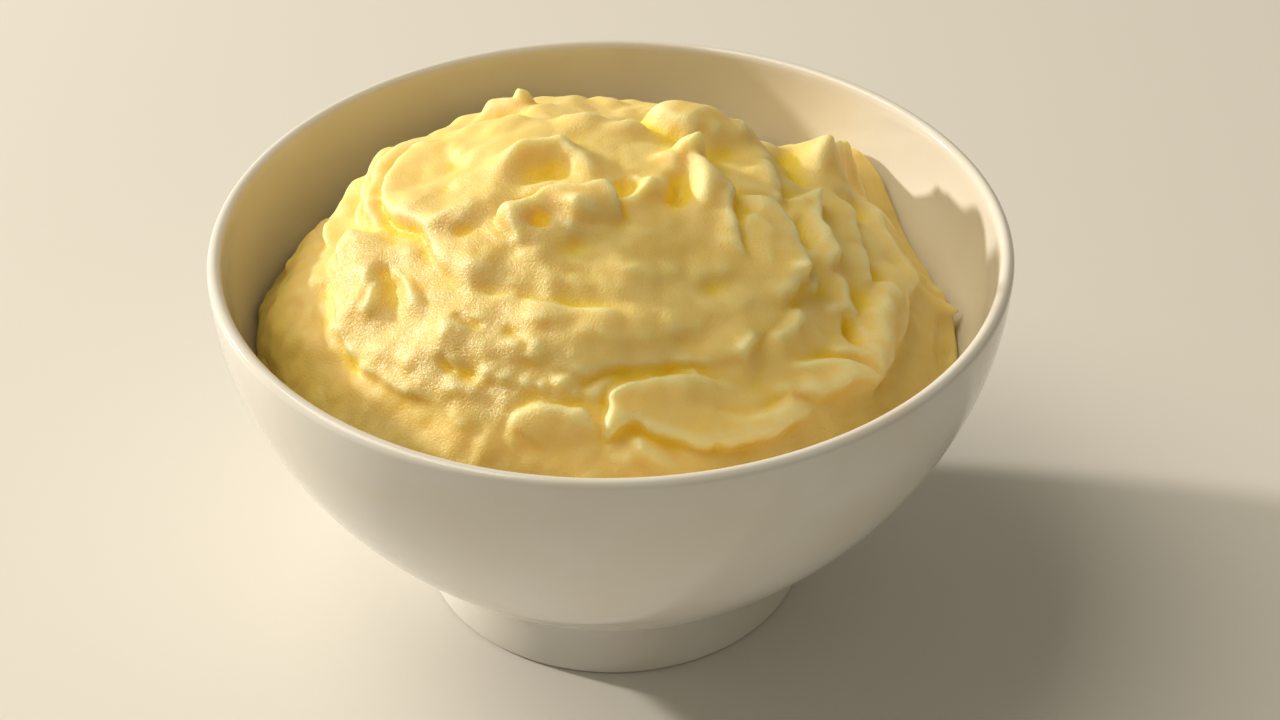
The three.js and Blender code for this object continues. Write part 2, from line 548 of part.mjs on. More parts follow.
function moundSlopes(x, y) {
  const alongX = moundPoint(x + STEP, y).sub(moundPoint(x - STEP, y)).divideScalar(2 * STEP);
  const alongY = moundPoint(x, y + STEP).sub(moundPoint(x, y - STEP)).divideScalar(2 * STEP);
  return { alongX, alongY, out: alongX.clone().cross(alongY).normalize() };
}

function topPoint(reach, turn) {
  const [x, y] = [reach * Math.cos(turn), reach * Math.sin(turn)];
  const hold = smooth((mound.length - reach) / EDGE_FADE);
  const [height, pushX, pushY] = relief(x, y);
  const { alongX, alongY, out } = moundSlopes(x, y);
  const point = moundPoint(x, y)
    .addScaledVector(out, hold * height)
    .addScaledVector(alongX, hold * pushX)
    .addScaledVector(alongY, hold * pushY);
  const radius = Math.hypot(point.x, point.y);
  const limit = wallLimit(point.z);
  if (radius > limit) {
    point.x *= limit / radius;
    point.y *= limit / radius;
  }
  return point;
}

function mashPoint(direction) {
  const share = Math.acos(THREE.MathUtils.clamp(direction.z, -1, 1)) / Math.PI;
  const turn = Math.atan2(direction.y, direction.x);
  if (share <= TOP_SHARE) return topPoint((share / TOP_SHARE) * mound.length, turn);
  return undersidePoint(((share - TOP_SHARE) / (1 - TOP_SHARE)) * underside.length, turn);
}

/** The corners and triangles of an icosahedron's faces cut into rows, as shared directions. */
function startingSphere() {
  const places = new THREE.IcosahedronGeometry(1, START_DETAIL).getAttribute('position');
  const known = new Map();
  const directions = [];
  const indices = [];
  for (let i = 0; i < places.count; i += 1) {
    const direction = new THREE.Vector3().fromBufferAttribute(places, i).normalize();
    const key = direction.toArray().map((value) => Math.round(value * 1e5)).join();
    if (!known.has(key)) {
      known.set(key, directions.length);
      directions.push(direction);
    }
    indices.push(known.get(key));
  }
  const triangles = [];
  for (let i = 0; i < indices.length; i += 3) triangles.push(indices.slice(i, i + 3));
  return { directions, triangles };
}

/** One pass that halves each edge that is too long or too far from the true form. */
function splitEdges({ directions, triangles }, points) {
  const middles = new Map();
  const middleOf = (a, b) => {
    const key = `${Math.min(a, b)},${Math.max(a, b)}`;
    if (!middles.has(key)) {
      const direction = directions[a].clone().add(directions[b]).normalize();
      const point = mashPoint(direction);
      const length = points[a].distanceTo(points[b]);
      const error = point.distanceTo(points[a].clone().lerp(points[b], 0.5));
      const low = Math.max(directions[a].z, directions[b].z) < Math.cos(Math.PI * TOP_SHARE);
      const split = !low && length > FINEST_EDGE && (length > COARSEST_EDGE || error > CHORD_ERROR);
      middles.set(key, split ? directions.push(direction) - 1 : -1);
      if (split) points.push(point);
    }
    return middles.get(key);
  };
  const next = [];
  for (const corners of triangles) {
    const middle = corners.map((corner, i) => middleOf(corner, corners[(i + 1) % 3]));
    next.push(...cutTriangle(corners, middle));
  }
  return { directions, triangles: next };
}

/** Cuts a triangle at those of its edges that have a middle corner. */
function cutTriangle(corners, middle) {
  const cuts = middle.filter((index) => index >= 0).length;
  if (cuts === 0) return [corners];
  if (cuts === 3) {
    const [a, b, c] = corners;
    const [ab, bc, ca] = middle;
    return [[a, ab, ca], [b, bc, ab], [c, ca, bc], [ab, bc, ca]];
  }
  // turned so that the only cut edge, or the only whole one, comes first
  const first = cuts === 1 ? middle.findIndex((index) => index >= 0) : middle.findIndex((index) => index < 0);
  const [a, b, c] = [0, 1, 2].map((i) => corners[(first + i) % 3]);
  const [ab, bc, ca] = [0, 1, 2].map((i) => middle[(first + i) % 3]);
  if (cuts === 1) return [[a, ab, c], [ab, b, c]];
  return [[a, b, bc], [a, bc, ca], [ca, bc, c]];
}

function makeMash() {
  let sphere = startingSphere();
  const points = sphere.directions.map(mashPoint);
  for (let pass = 0; pass < SPLIT_PASSES; pass += 1) sphere = splitEdges(sphere, points);
  const geometry = new THREE.BufferGeometry();
  geometry.setAttribute(
    'position',
    new THREE.Float32BufferAttribute(points.flatMap((point) => point.toArray()), 3),
  );
  geometry.setIndex(sphere.triangles.flat());
  geometry.computeVertexNormals();
  return geometry;
}

// ---------------------------------------------------------------------------
// Assembly
// ---------------------------------------------------------------------------

const glaze = new THREE.MeshStandardMaterial({ color: 0xf3efe6, roughness: 0.12, metalness: 0 });
const potato = new THREE.MeshStandardMaterial({ color: 0xf1d98f, roughness: 0.4, metalness: 0 });

function named(name, geometry, material) {
  const mesh = new THREE.Mesh(geometry, material);
  mesh.name = name;
  return mesh;
}

const group = new THREE.Group();
group.add(named('bowl', makeBowl(), glaze));
group.add(named('mash', makeMash(), potato));

export default group;
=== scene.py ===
"""Mashed potato heaped in a white footed bowl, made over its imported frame.

Blender works in metres. The sizes, places and heights in this file are in millimetres, and MM
turns them into metres where a mesh, a light or a texture is made. The origin is on the bowl's
axis, in the plane that its foot ring stands on. Azimuths run anticlockwise from +X, and the side
that faces the eater is -Y.
"""

from __future__ import annotations

import logging
import math
from abc import ABC, abstractmethod
from collections.abc import Callable
from dataclasses import dataclass, field
from enum import Enum
from functools import cached_property
from pathlib import Path as FilePath
from typing import Any

import bmesh
import bpy
import numpy as np
from mathutils import Matrix, Vector
from numpy.typing import NDArray


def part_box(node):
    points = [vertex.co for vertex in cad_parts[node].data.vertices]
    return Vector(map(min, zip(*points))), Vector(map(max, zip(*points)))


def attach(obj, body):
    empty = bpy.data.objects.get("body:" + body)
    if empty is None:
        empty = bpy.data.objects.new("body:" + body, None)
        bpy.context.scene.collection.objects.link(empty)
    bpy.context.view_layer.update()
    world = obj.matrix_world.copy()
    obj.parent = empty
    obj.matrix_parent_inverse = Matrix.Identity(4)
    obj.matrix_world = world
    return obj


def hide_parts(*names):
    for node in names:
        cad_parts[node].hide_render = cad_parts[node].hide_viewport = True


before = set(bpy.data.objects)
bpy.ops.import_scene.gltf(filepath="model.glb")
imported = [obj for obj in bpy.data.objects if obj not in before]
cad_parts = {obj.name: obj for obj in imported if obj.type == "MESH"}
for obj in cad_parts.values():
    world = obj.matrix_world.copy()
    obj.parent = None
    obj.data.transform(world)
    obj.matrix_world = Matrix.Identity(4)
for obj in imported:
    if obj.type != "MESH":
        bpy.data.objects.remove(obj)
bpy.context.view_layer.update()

log = logging.getLogger("mash_bowl")

MM = 0.001
BODY = "root"

# the steps and the scale of the repeatable random numbers
HASH_STEPS = (127.1, 311.7, 74.7)
HASH_SCALE = 43758.5453
LEVEL_STEPS = (31.0, 17.0)

# corners nearer than this are one corner
WELD = 0.001

Array = NDArray[np.float64]
Indices = NDArray[np.int64]
Point = tuple[float, float]
Path = tuple[Point, ...]
Range = tuple[float, float]
Colour = tuple[float, float, float]
Arrays = tuple[Array, Array, Array]
Tree = bpy.types.NodeTree
Socket = bpy.types.NodeSocket


class Slot(Enum):
    """The record's material slots."""

    GLAZE = "glaze"
    POTATO = "potato"


class Node(Enum):
    """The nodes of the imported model."""

    BOWL = "bowl"
    MASH = "mash"


class Mask(Enum):
    """What is kept for each corner of the heap's mesh, from 0 to 1, for its finish to read."""

    # hollows, which get painted shade as a deeper yellow, and are seen into more deeply
    HOLLOW = "hollow"
    # thin raised edges, which get a painted glow as a paler tone
    CREST_GLOW = "crest"
    TORN = "torn"
    # the skirt against the wall, which gets painted shade as a darker tone, most at the left
    SKIRT_SHADE = "skirt"


# --- Numbers and curves ---


def smooth(share: Array) -> Array:
    """Eases a share of 0 to 1 in and out, and holds it beyond them."""
    share = np.clip(share, 0.0, 1.0)
    return share * share * (3.0 - 2.0 * share)


def ramp(value: Array, start: float, width: float) -> Array:
    """Eases from 0 at the start to 1 a width further on, which is further down if it is negative."""
    return smooth((value - start) / width)


def bezier(corners: tuple[Point, ...], count: int) -> Array:
    """Points of a cubic curve.

    Args:
        corners: its two ends, with their handles between them.
        count: how many points, evenly spaced in its parameter.

    Returns:
        The points, one a row.
    """
    t = np.linspace(0.0, 1.0, count)[:, None]
    a, b, c, d = np.array(corners, float)
    return (1 - t) ** 3 * a + 3 * (1 - t) ** 2 * t * b + 3 * (1 - t) * t**2 * c + t**3 * d


def arc(centre: Point, radius: float, start: float, end: float, count: int) -> Array:
    """Points of a circular arc from one azimuth to another, in degrees, one a row."""
    turns = np.radians(np.linspace(start, end, count))
    return np.array(centre) + radius * np.stack([np.cos(turns), np.sin(turns)], axis=1)


def smooth_line(path: Path, per_span: int) -> Array:
    """A Catmull-Rom line through points.

    Args:
        path: the points.
        per_span: how many points to give between one and the next.

    Returns:
        The line's points, one a row.
    """
    knots = np.array(path, float)
    knots = np.vstack([2 * knots[0] - knots[1], knots, 2 * knots[-1] - knots[-2]])
    t = np.linspace(0.0, 1.0, per_span, endpoint=False)[:, None]
    spans = []
    for a, b, c, d in zip(knots[:-3], knots[1:-2], knots[2:-1], knots[3:]):
        square = 2 * a - 5 * b + 4 * c - d
        cube = -a + 3 * b - 3 * c + d
        spans.append(0.5 * (2 * b + (c - a) * t + square * t**2 + cube * t**3))
    return np.vstack([*spans, knots[-2:-1]])


def distances(line: Array) -> Array:
    """The distance along a line to each of its points."""
    return np.concatenate([[0.0], np.cumsum(np.hypot(*np.diff(line, axis=0).T))])


def corner_value(column: Array, row: Array, seed: int) -> Array:
    """A repeatable random number from 0 to 1 at each corner of a grid."""
    value = np.sin(column * HASH_STEPS[0] + row * HASH_STEPS[1] + seed * HASH_STEPS[2]) * HASH_SCALE
    return value - np.floor(value)


def cell_noise(columns: tuple[Array, Array], row: Array, u: Array, v: Array, seed: int) -> Array:
    """Blends random numbers, -1 to 1, over cells between two columns by u and two rows by v."""
    near, far = (
        corner_value(columns[0], line, seed) * (1 - u) + corner_value(columns[1], line, seed) * u
        for line in (row, row + 1)
    )
    return 2.0 * (near * (1 - v) + far * v) - 1.0


def noise(x: Array, y: Array, cell: float, seed: int) -> Array:
    """Smooth seeded noise.

    Args:
        x: places, to the right.
        y: places, away from the eater.
        cell: size of the noise's cells.
        seed: picks one pattern.

    Returns:
        A number from -1 to 1 for each place.
    """
    column, row = np.floor(x / cell), np.floor(y / cell)
    u, v = smooth(x / cell - column), smooth(y / cell - row)
    return cell_noise((column, column + 1), row, u, v, seed)


def grain(points: Array, cell: float, seed: int) -> Array:
    """Smooth seeded noise in space, which looks the same on every slope.

    Args:
        points: one a row.
        cell: size of the noise's cells.
        seed: picks one pattern.

    Returns:
        A number from -1 to 1 for each point.
    """
    low = np.floor(points / cell)
    share = smooth(points / cell - low)
    total = np.zeros(len(points))
    for step in np.ndindex(2, 2, 2):
        column, row, level = (low + step).T
        weight = np.where(step, share, 1.0 - share).prod(axis=1)
        column, row = column + LEVEL_STEPS[0] * level, row - LEVEL_STEPS[1] * level
        total += weight * corner_value(column, row, seed)
    return 2.0 * total - 1.0


def swirl(x: Array, y: Array, columns: int, cell: float, seed: int, drift: float = 1.2) -> Array:
    """Noise stretched along the spoon's way round, which drifts outwards as it turns.

    Args:
        x: places, to the right.
        y: places, away from the eater.
        columns: how many cells go round.
        cell: width of a cell from the middle outwards.
        seed: picks one pattern.
        drift: how far the bands move outwards for each radian.

    Returns:
        A number from -1 to 1 for each place.
    """
    turn = np.arctan2(y, x)
    place = (turn / (2 * np.pi) + 0.5) * columns
    across = (np.hypot(x, y) + drift * turn) / cell
    column, row = np.floor(place), np.floor(across)
    u, v = smooth(place - column), smooth(across - row)
    return cell_noise((np.mod(column, columns), np.mod(column + 1, columns)), row, u, v, seed)


def clumps(x: Array, y: Array, cell: float, seed: int) -> Array:
    """Rounded clumps pressed against each other, with creases between them.

    Args:
        x: places, to the right.
        y: places, away from the eater.
        cell: size of a clump.
        seed: picks one pattern.

    Returns:
        A number from -1 in a crease to 1 on a clump for each place.
    """
    scatter, crease, roundness, other_seed = 0.8, 0.9, 0.7, seed + 100
    column, row = np.floor(x / cell), np.floor(y / cell)
    first = second = np.full(x.shape, np.inf)
    for step_x, step_y in np.ndindex(3, 3):
        i, j = column + step_x - 1, row + step_y - 1
        away_x = i + 0.5 + scatter * (corner_value(i, j, seed) - 0.5) - x / cell
        away_y = j + 0.5 + scatter * (corner_value(i, j, other_seed) - 0.5) - y / cell
        away = np.hypot(away_x, away_y)
        second = np.minimum(second, np.maximum(first, away))
        first = np.minimum(first, away)
    return 2.0 * np.clip((second - first) / crease, 0.0, 1.0) ** roundness - 1.0


# --- Node trees and meshes ---


def feed(tree: Tree, node: bpy.types.Node, inputs: dict[str | int, Any]) -> None:
    """Fills a node's input sockets.

    Args:
        tree: the node's tree.
        node: the node.
        inputs: what each input socket gets, a value or another node's output socket.
    """
    for socket, value in inputs.items():
        if isinstance(value, Socket):
            tree.links.new(value, node.inputs[socket])
        else:
            node.inputs[socket].default_value = value


def add_node(
    tree: Tree, kind: str, inputs: dict[str | int, Any] | None = None, **settings: Any
) -> bpy.types.Node:
    """Adds one node to a tree.

    Args:
        tree: the tree.
        kind: the node's type name.
        inputs: what each input socket gets, a value or another node's output socket.
        **settings: the node's own settings.

    Returns:
        The node.
    """
    node = tree.nodes.new(kind)
    for name, value in settings.items():
        setattr(node, name, value)
    feed(tree, node, inputs or {})
    return node


def add_math(tree: Tree, operation: str, *values: Any) -> Socket:
    """Adds a sum or another small calculation and returns its result's socket."""
    return add_node(tree, "ShaderNodeMath", dict(enumerate(values)), operation=operation).outputs[0]


def new_tree(
    name: str, kind: str, inputs: dict[str, str], outputs: dict[str, str]
) -> tuple[Tree, dict[str, Socket], bpy.types.Node]:
    """Starts a node tree with named sockets.

    Args:
        name: the tree's name.
        kind: the tree's type name.
        inputs: each input's name and socket type.
        outputs: each output's name and socket type.

    Returns:
        The tree, its inputs by name, and its output node.
    """
    tree = bpy.data.node_groups.new(name, kind)
    for direction, sockets in (("INPUT", inputs), ("OUTPUT", outputs)):
        for socket, socket_type in sockets.items():
            tree.interface.new_socket(socket, in_out=direction, socket_type=socket_type)
    entry = tree.nodes.new("NodeGroupInput")
    return tree, {socket: entry.outputs[socket] for socket in inputs}, tree.nodes.new("NodeGroupOutput")


def new_mesh(name: str, points: Array, faces: Array, edges: Array | None = None) -> bpy.types.Mesh:
    """Makes a mesh from points in metres.

    Args:
        name: the mesh's name.
        points: one a row.
        faces: the corners of each face, one face a row.
        edges: the ends of each loose edge, one edge a row.

    Returns:
        The mesh, shaded smooth.
    """
    mesh = bpy.data.meshes.new(name)
    mesh.from_pydata(points.tolist(), [] if edges is None else edges.tolist(), faces.tolist())
    mesh.update()
    mesh.shade_smooth()
    return mesh


def new_object(name: str, mesh: bpy.types.Mesh) -> bpy.types.Object:
    """Puts a mesh in the scene as an object at the origin.

    Args:
        name: the object's name.
        mesh: the mesh.

    Returns:
        The object.
    """
    thing = bpy.data.objects.new(name, mesh)
    bpy.context.scene.collection.objects.link(thing)
    return thing


def grow(
    name: str, start: bpy.types.Mesh, tree: Tree, values: dict[str, Any]
) -> bpy.types.Object:
    """Runs a geometry tree on a mesh and keeps the result as a plain mesh.

    Args:
        name: the new object's name.
        start: the mesh that the tree starts from.
        tree: the geometry tree.
        values: the tree's inputs by name.

    Returns:
        The object with the result, free of modifiers.
    """
    thing = new_object(name, start)
    modifier = thing.modifiers.new(tree.name, "NODES")
    modifier.node_group = tree
    for socket in tree.interface.items_tree:
        if socket.in_out == "INPUT" and socket.name in values:
            modifier[socket.identifier] = values[socket.name]
    evaluated = thing.evaluated_get(bpy.context.evaluated_depsgraph_get())
    result = bpy.data.meshes.new_from_object(evaluated)
    thing.modifiers.remove(modifier)
    thing.data = result
    result.name = name
    bpy.data.meshes.remove(start)
    return thing


def keep_mask(mesh: bpy.types.Mesh, mask: Mask, values: Array) -> None:
    """Stores one number for each corner of a mesh."""
    layer = mesh.attributes.new(mask.value, "FLOAT", "POINT")
    layer.data.foreach_set("value", values.astype(np.float32))


# --- Finishes ---


def mottle_group() -> Tree:
    """A group that gives soft uneven patches, from 0 to 1, as the food and the glaze both have.

    Returns:
        The group.
    """
    tree, given, result = new_tree(
        "mottle",
        "ShaderNodeTree",
        {"Patch": "NodeSocketFloat", "Detail": "NodeSocketFloat", "Contrast": "NodeSocketFloat"},
        {"Mask": "NodeSocketFloat"},
    )
    place = add_node(tree, "ShaderNodeTexCoord").outputs["Object"]
    patches = add_node(
        tree,
        "ShaderNodeTexNoise",
        {"Vector": place, "Scale": add_math(tree, "DIVIDE", 1.0, given["Patch"]), "Detail": given["Detail"]},
    )
    centred = add_math(tree, "SUBTRACT", patches.outputs[0], 0.5)
    spread = add_math(tree, "MULTIPLY_ADD", centred, given["Contrast"], 0.5)
    lifted = add_math(tree, "MAXIMUM", spread, 0.0)
    tree.links.new(add_math(tree, "MINIMUM", lifted, 1.0), result.inputs["Mask"])
    return tree


@dataclass(frozen=True)
class Mottle:
    """Soft uneven patches: the size of one, how many finer patterns it has, and their contrast."""

    patch: float
    detail: float
    contrast: float

    def add(self, tree: Tree) -> Socket:
        """Places the mottle group in a material's tree.

        Args:
            tree: the material's tree.

        Returns:
            The mask's socket.
        """
        group = bpy.data.node_groups.get("mottle") or mottle_group()
        inputs = {"Patch": self.patch * MM, "Detail": self.detail, "Contrast": self.contrast}
        return add_node(tree, "ShaderNodeGroup", inputs, node_tree=group).outputs["Mask"]


def opaque(colour: Any) -> Any:
    """Adds a full alpha to a colour, and passes a socket on as it is."""
    return (*colour, 1.0) if isinstance(colour, tuple) else colour


def add_blend(tree: Tree, share: Any, low: Any, high: Any) -> Socket:
    """Mixes two colours, each a colour or a socket, by a mask, and returns the result's socket."""
    # the node's colour sockets share their names with others, so they go by number
    inputs = {0: share, 6: opaque(low), 7: opaque(high)}
    return add_node(tree, "ShaderNodeMix", inputs, data_type="RGBA").outputs[2]


def add_bump(tree: Tree, height: Any, strength: float, depth: float) -> Socket:
    """Turns a mask of heights into a normal of the given depth and returns its socket."""
    inputs = {"Height": height, "Strength": strength, "Distance": depth * MM}
    return add_node(tree, "ShaderNodeBump", inputs).outputs[0]


def add_range(tree: Tree, mask: Any, ends: Range) -> Socket:
    """Turns a mask of 0 to 1 into a number between two ends and returns its socket."""
    return add_math(tree, "MULTIPLY_ADD", mask, ends[1] - ends[0], ends[0])


def read_mask(tree: Tree, mask: Mask) -> Socket:
    """Reads a mask that the mesh keeps and returns its socket."""
    return add_node(tree, "ShaderNodeAttribute", attribute_name=mask.value).outputs["Fac"]


@dataclass(frozen=True)
class Finish(ABC):
    """How a surface looks."""

    name: str

    def material(self) -> bpy.types.Material:
        """Makes the material.

        Returns:
            The material.
        """
        material = bpy.data.materials.new(self.name)
        material.use_nodes = True
        tree = material.node_tree
        self.dress(tree, tree.nodes["Principled BSDF"])
        return material

    @abstractmethod
    def dress(self, tree: Tree, shader: bpy.types.Node) -> None:
        """Fills in the material's tree.

        Args:
            tree: the tree.
            shader: its Principled BSDF.
        """


@dataclass(frozen=True)
class PotatoFinish(Finish):
    """Moist mash, creamy. Painted shade makes its hollows a deeper yellow and its skirt by the wall
    darker, and a painted glow makes its thin raised edges paler.

    Each pair is what its mask gives at 0 and at 1. The masks of gloss, graininess and wetness run
    from smooth mash to torn, and that of the see-in depth runs from open mash to hollow.
    """

    flesh: Colour = (0.955, 0.684, 0.19)
    # pale is the patches' paler tone, and also the painted glow on thin raised edges
    pale: Colour = (0.965, 0.79, 0.40)
    # deep is painted shade: the hollows turn this deeper yellow
    deep: Colour = (0.985, 0.745, 0.07)
    # settled is painted shade: the skirt against the wall turns this darker colour
    settled: Colour = (0.66, 0.505, 0.12)
    patches: Mottle = Mottle(patch=9.0, detail=3.0, contrast=1.8)
    paleness: Range = (0.0, 0.5)
    gloss: Range = (0.5, 0.4)
    dullness: Mottle = Mottle(patch=3.0, detail=2.0, contrast=2.0)
    dull_ends: Range = (-0.06, 0.08)
    grains: Mottle = Mottle(patch=0.45, detail=1.5, contrast=2.2)
    graininess: Range = (0.3, 0.7)
    grain_strength: float = 0.8
    grain_depth: float = 0.3
    crystals: Mottle = Mottle(patch=0.5, detail=1.0, contrast=2.6)
    crystal_strength: float = 1.0
    crystal_depth: float = 0.16
    beads: Mottle = Mottle(patch=5.0, detail=2.0, contrast=2.6)
    bead_ends: Range = (0.1, 1.0)
    wetness: Range = (0.02, 1.0)
    wet_gloss: float = 0.3
    see_in: float = 0.85
    see_in_depth: Range = (5.0, 13.0)
    see_in_reach: Colour = (1.0, 0.80, 0.36)

    def dress(self, tree: Tree, shader: bpy.types.Node) -> None:
        """Fills in the material's tree.

        Args:
            tree: the tree.
            shader: its Principled BSDF.
        """
        torn, hollow = read_mask(tree, Mask.TORN), read_mask(tree, Mask.HOLLOW)
        patches = add_range(tree, self.patches.add(tree), self.paleness)
        colour = add_blend(tree, patches, self.flesh, self.pale)
        # painted glow: thin raised edges turn paler
        colour = add_blend(tree, read_mask(tree, Mask.CREST_GLOW), colour, self.pale)
        # painted shade: hollows turn a deeper yellow
        colour = add_blend(tree, hollow, colour, self.deep)
        # painted shade: the skirt against the wall turns darker
        colour = add_blend(tree, read_mask(tree, Mask.SKIRT_SHADE), colour, self.settled)
        gloss = add_range(tree, torn, self.gloss)
        dull = add_range(tree, self.dullness.add(tree), self.dull_ends)
        grain = add_math(tree, "MULTIPLY", self.grains.add(tree), add_range(tree, torn, self.graininess))
        beads = add_range(tree, self.beads.add(tree), self.bead_ends)
        glint = add_bump(tree, self.crystals.add(tree), self.crystal_strength, self.crystal_depth)
        near, deep = self.see_in_depth
        inputs = {
            "Base Color": colour,
            "Roughness": add_math(tree, "ADD", gloss, dull),
            "Normal": add_bump(tree, grain, self.grain_strength, self.grain_depth),
            "Coat Normal": glint,
            "Coat Weight": add_math(tree, "MULTIPLY", add_range(tree, torn, self.wetness), beads),
            "Coat Roughness": self.wet_gloss,
            "Subsurface Weight": self.see_in,
            "Subsurface Scale": add_range(tree, hollow, (near * MM, deep * MM)),
            "Subsurface Radius": self.see_in_reach,
        }
        feed(tree, shader, inputs)


@dataclass(frozen=True)
class GlazeFinish(Finish):
    """Warm white glaze, wiped off the face that the foot ring stands on."""

    glaze: Colour = (0.82, 0.82, 0.805)
    thin_glaze: Colour = (0.77, 0.73, 0.65)
    clay: Colour = (0.66, 0.60, 0.51)
    thickness: Mottle = Mottle(patch=22.0, detail=2.0, contrast=1.6)
    gloss: float = 0.10
    sheen: Mottle = Mottle(patch=7.0, detail=2.0, contrast=1.5)
    sheen_ends: Range = (-0.02, 0.04)
    clay_gloss: float = 0.75
    bare_height: float = 0.35
    ripple: Mottle = Mottle(patch=9.0, detail=1.0, contrast=1.0)
    grit: Mottle = Mottle(patch=0.5, detail=3.0, contrast=2.0)
    relief_strength: float = 0.25
    relief_depth: float = 0.12

    def dress(self, tree: Tree, shader: bpy.types.Node) -> None:
        """Fills in the material's tree.

        Args:
            tree: the tree.
            shader: its Principled BSDF.
        """
        place = add_node(tree, "ShaderNodeTexCoord").outputs["Object"]
        height = add_node(tree, "ShaderNodeSeparateXYZ", {0: place}).outputs["Z"]
        bare = add_math(tree, "LESS_THAN", height, self.bare_height * MM)
        glazed = add_blend(tree, self.thickness.add(tree), self.glaze, self.thin_glaze)
        low, high = self.sheen_ends
        sheen = add_range(tree, self.sheen.add(tree), (self.gloss + low, self.gloss + high))
        bare_sheen = add_math(tree, "MULTIPLY", bare, self.clay_gloss - self.gloss)
        grit = add_math(tree, "MULTIPLY", self.grit.add(tree), bare)
        relief = add_math(tree, "ADD", self.ripple.add(tree), grit)
        inputs = {
            "Base Color": add_blend(tree, bare, glazed, self.clay),
            "Roughness": add_math(tree, "ADD", sheen, bare_sheen),
            "Normal": add_bump(tree, relief, self.relief_strength, self.relief_depth),
        }
        feed(tree, shader, inputs)


@dataclass(frozen=True)
class FloorFinish(Finish):
    """Plain pale matt board."""

    colour: Colour = (0.75, 0.74, 0.72)
    gloss: float = 0.6

    def dress(self, tree: Tree, shader: bpy.types.Node) -> None:
        """Fills in the material's tree."""
        feed(tree, shader, {"Base Color": opaque(self.colour), "Roughness": self.gloss})


# --- Bowl ---


def lathe_tree() -> Tree:
    """A geometry tree that turns a profile, its x as the radius, about the vertical axis.

    Returns:
        The tree.
    """
    tree, given, result = new_tree(
        "lathe",
        "GeometryNodeTree",
        {
            "Profile": "NodeSocketGeometry",
            "Rows": "NodeSocketInt",
            "Segments": "NodeSocketInt",
            "Material": "NodeSocketMaterial",
        },
        {"Turned": "NodeSocketGeometry"},
    )
    grid = add_node(
        tree,
        "GeometryNodeMeshGrid",
        {"Vertices X": add_math(tree, "ADD", given["Segments"], 1.0), "Vertices Y": given["Rows"]},
    )
    index = add_node(tree, "GeometryNodeInputIndex").outputs[0]
    column = add_math(tree, "FLOOR", add_math(tree, "DIVIDE", index, given["Rows"]))
    row = add_math(tree, "FLOORED_MODULO", index, given["Rows"])
    sample = add_node(
        tree,
        "GeometryNodeSampleIndex",
        {"Geometry": given["Profile"], "Index": row},
        data_type="FLOAT_VECTOR",
    )
    tree.links.new(add_node(tree, "GeometryNodeInputPosition").outputs[0], sample.inputs["Value"])
    corner = add_node(tree, "ShaderNodeSeparateXYZ", {0: sample.outputs[0]})
    angle = add_math(tree, "MULTIPLY", add_math(tree, "DIVIDE", column, given["Segments"]), 2 * math.pi)
    across = add_math(tree, "MULTIPLY", corner.outputs["X"], add_math(tree, "COSINE", angle))
    away = add_math(tree, "MULTIPLY", corner.outputs["X"], add_math(tree, "SINE", angle))
    place = add_node(tree, "ShaderNodeCombineXYZ", {0: across, 1: away, 2: corner.outputs["Z"]})
    shape = grid.outputs["Mesh"]
    for kind, inputs in (
        ("GeometryNodeSetPosition", {"Position": place.outputs[0]}),
        ("GeometryNodeMergeByDistance", {"Distance": WELD * MM}),
        ("GeometryNodeSetShadeSmooth", {}),
        ("GeometryNodeRealizeInstances", {}),
        ("GeometryNodeSetMaterial", {"Material": given["Material"]}),
    ):
        shape = add_node(tree, kind, {"Geometry": shape, **inputs}).outputs[0]
    tree.links.new(shape, result.inputs[0])
    return tree


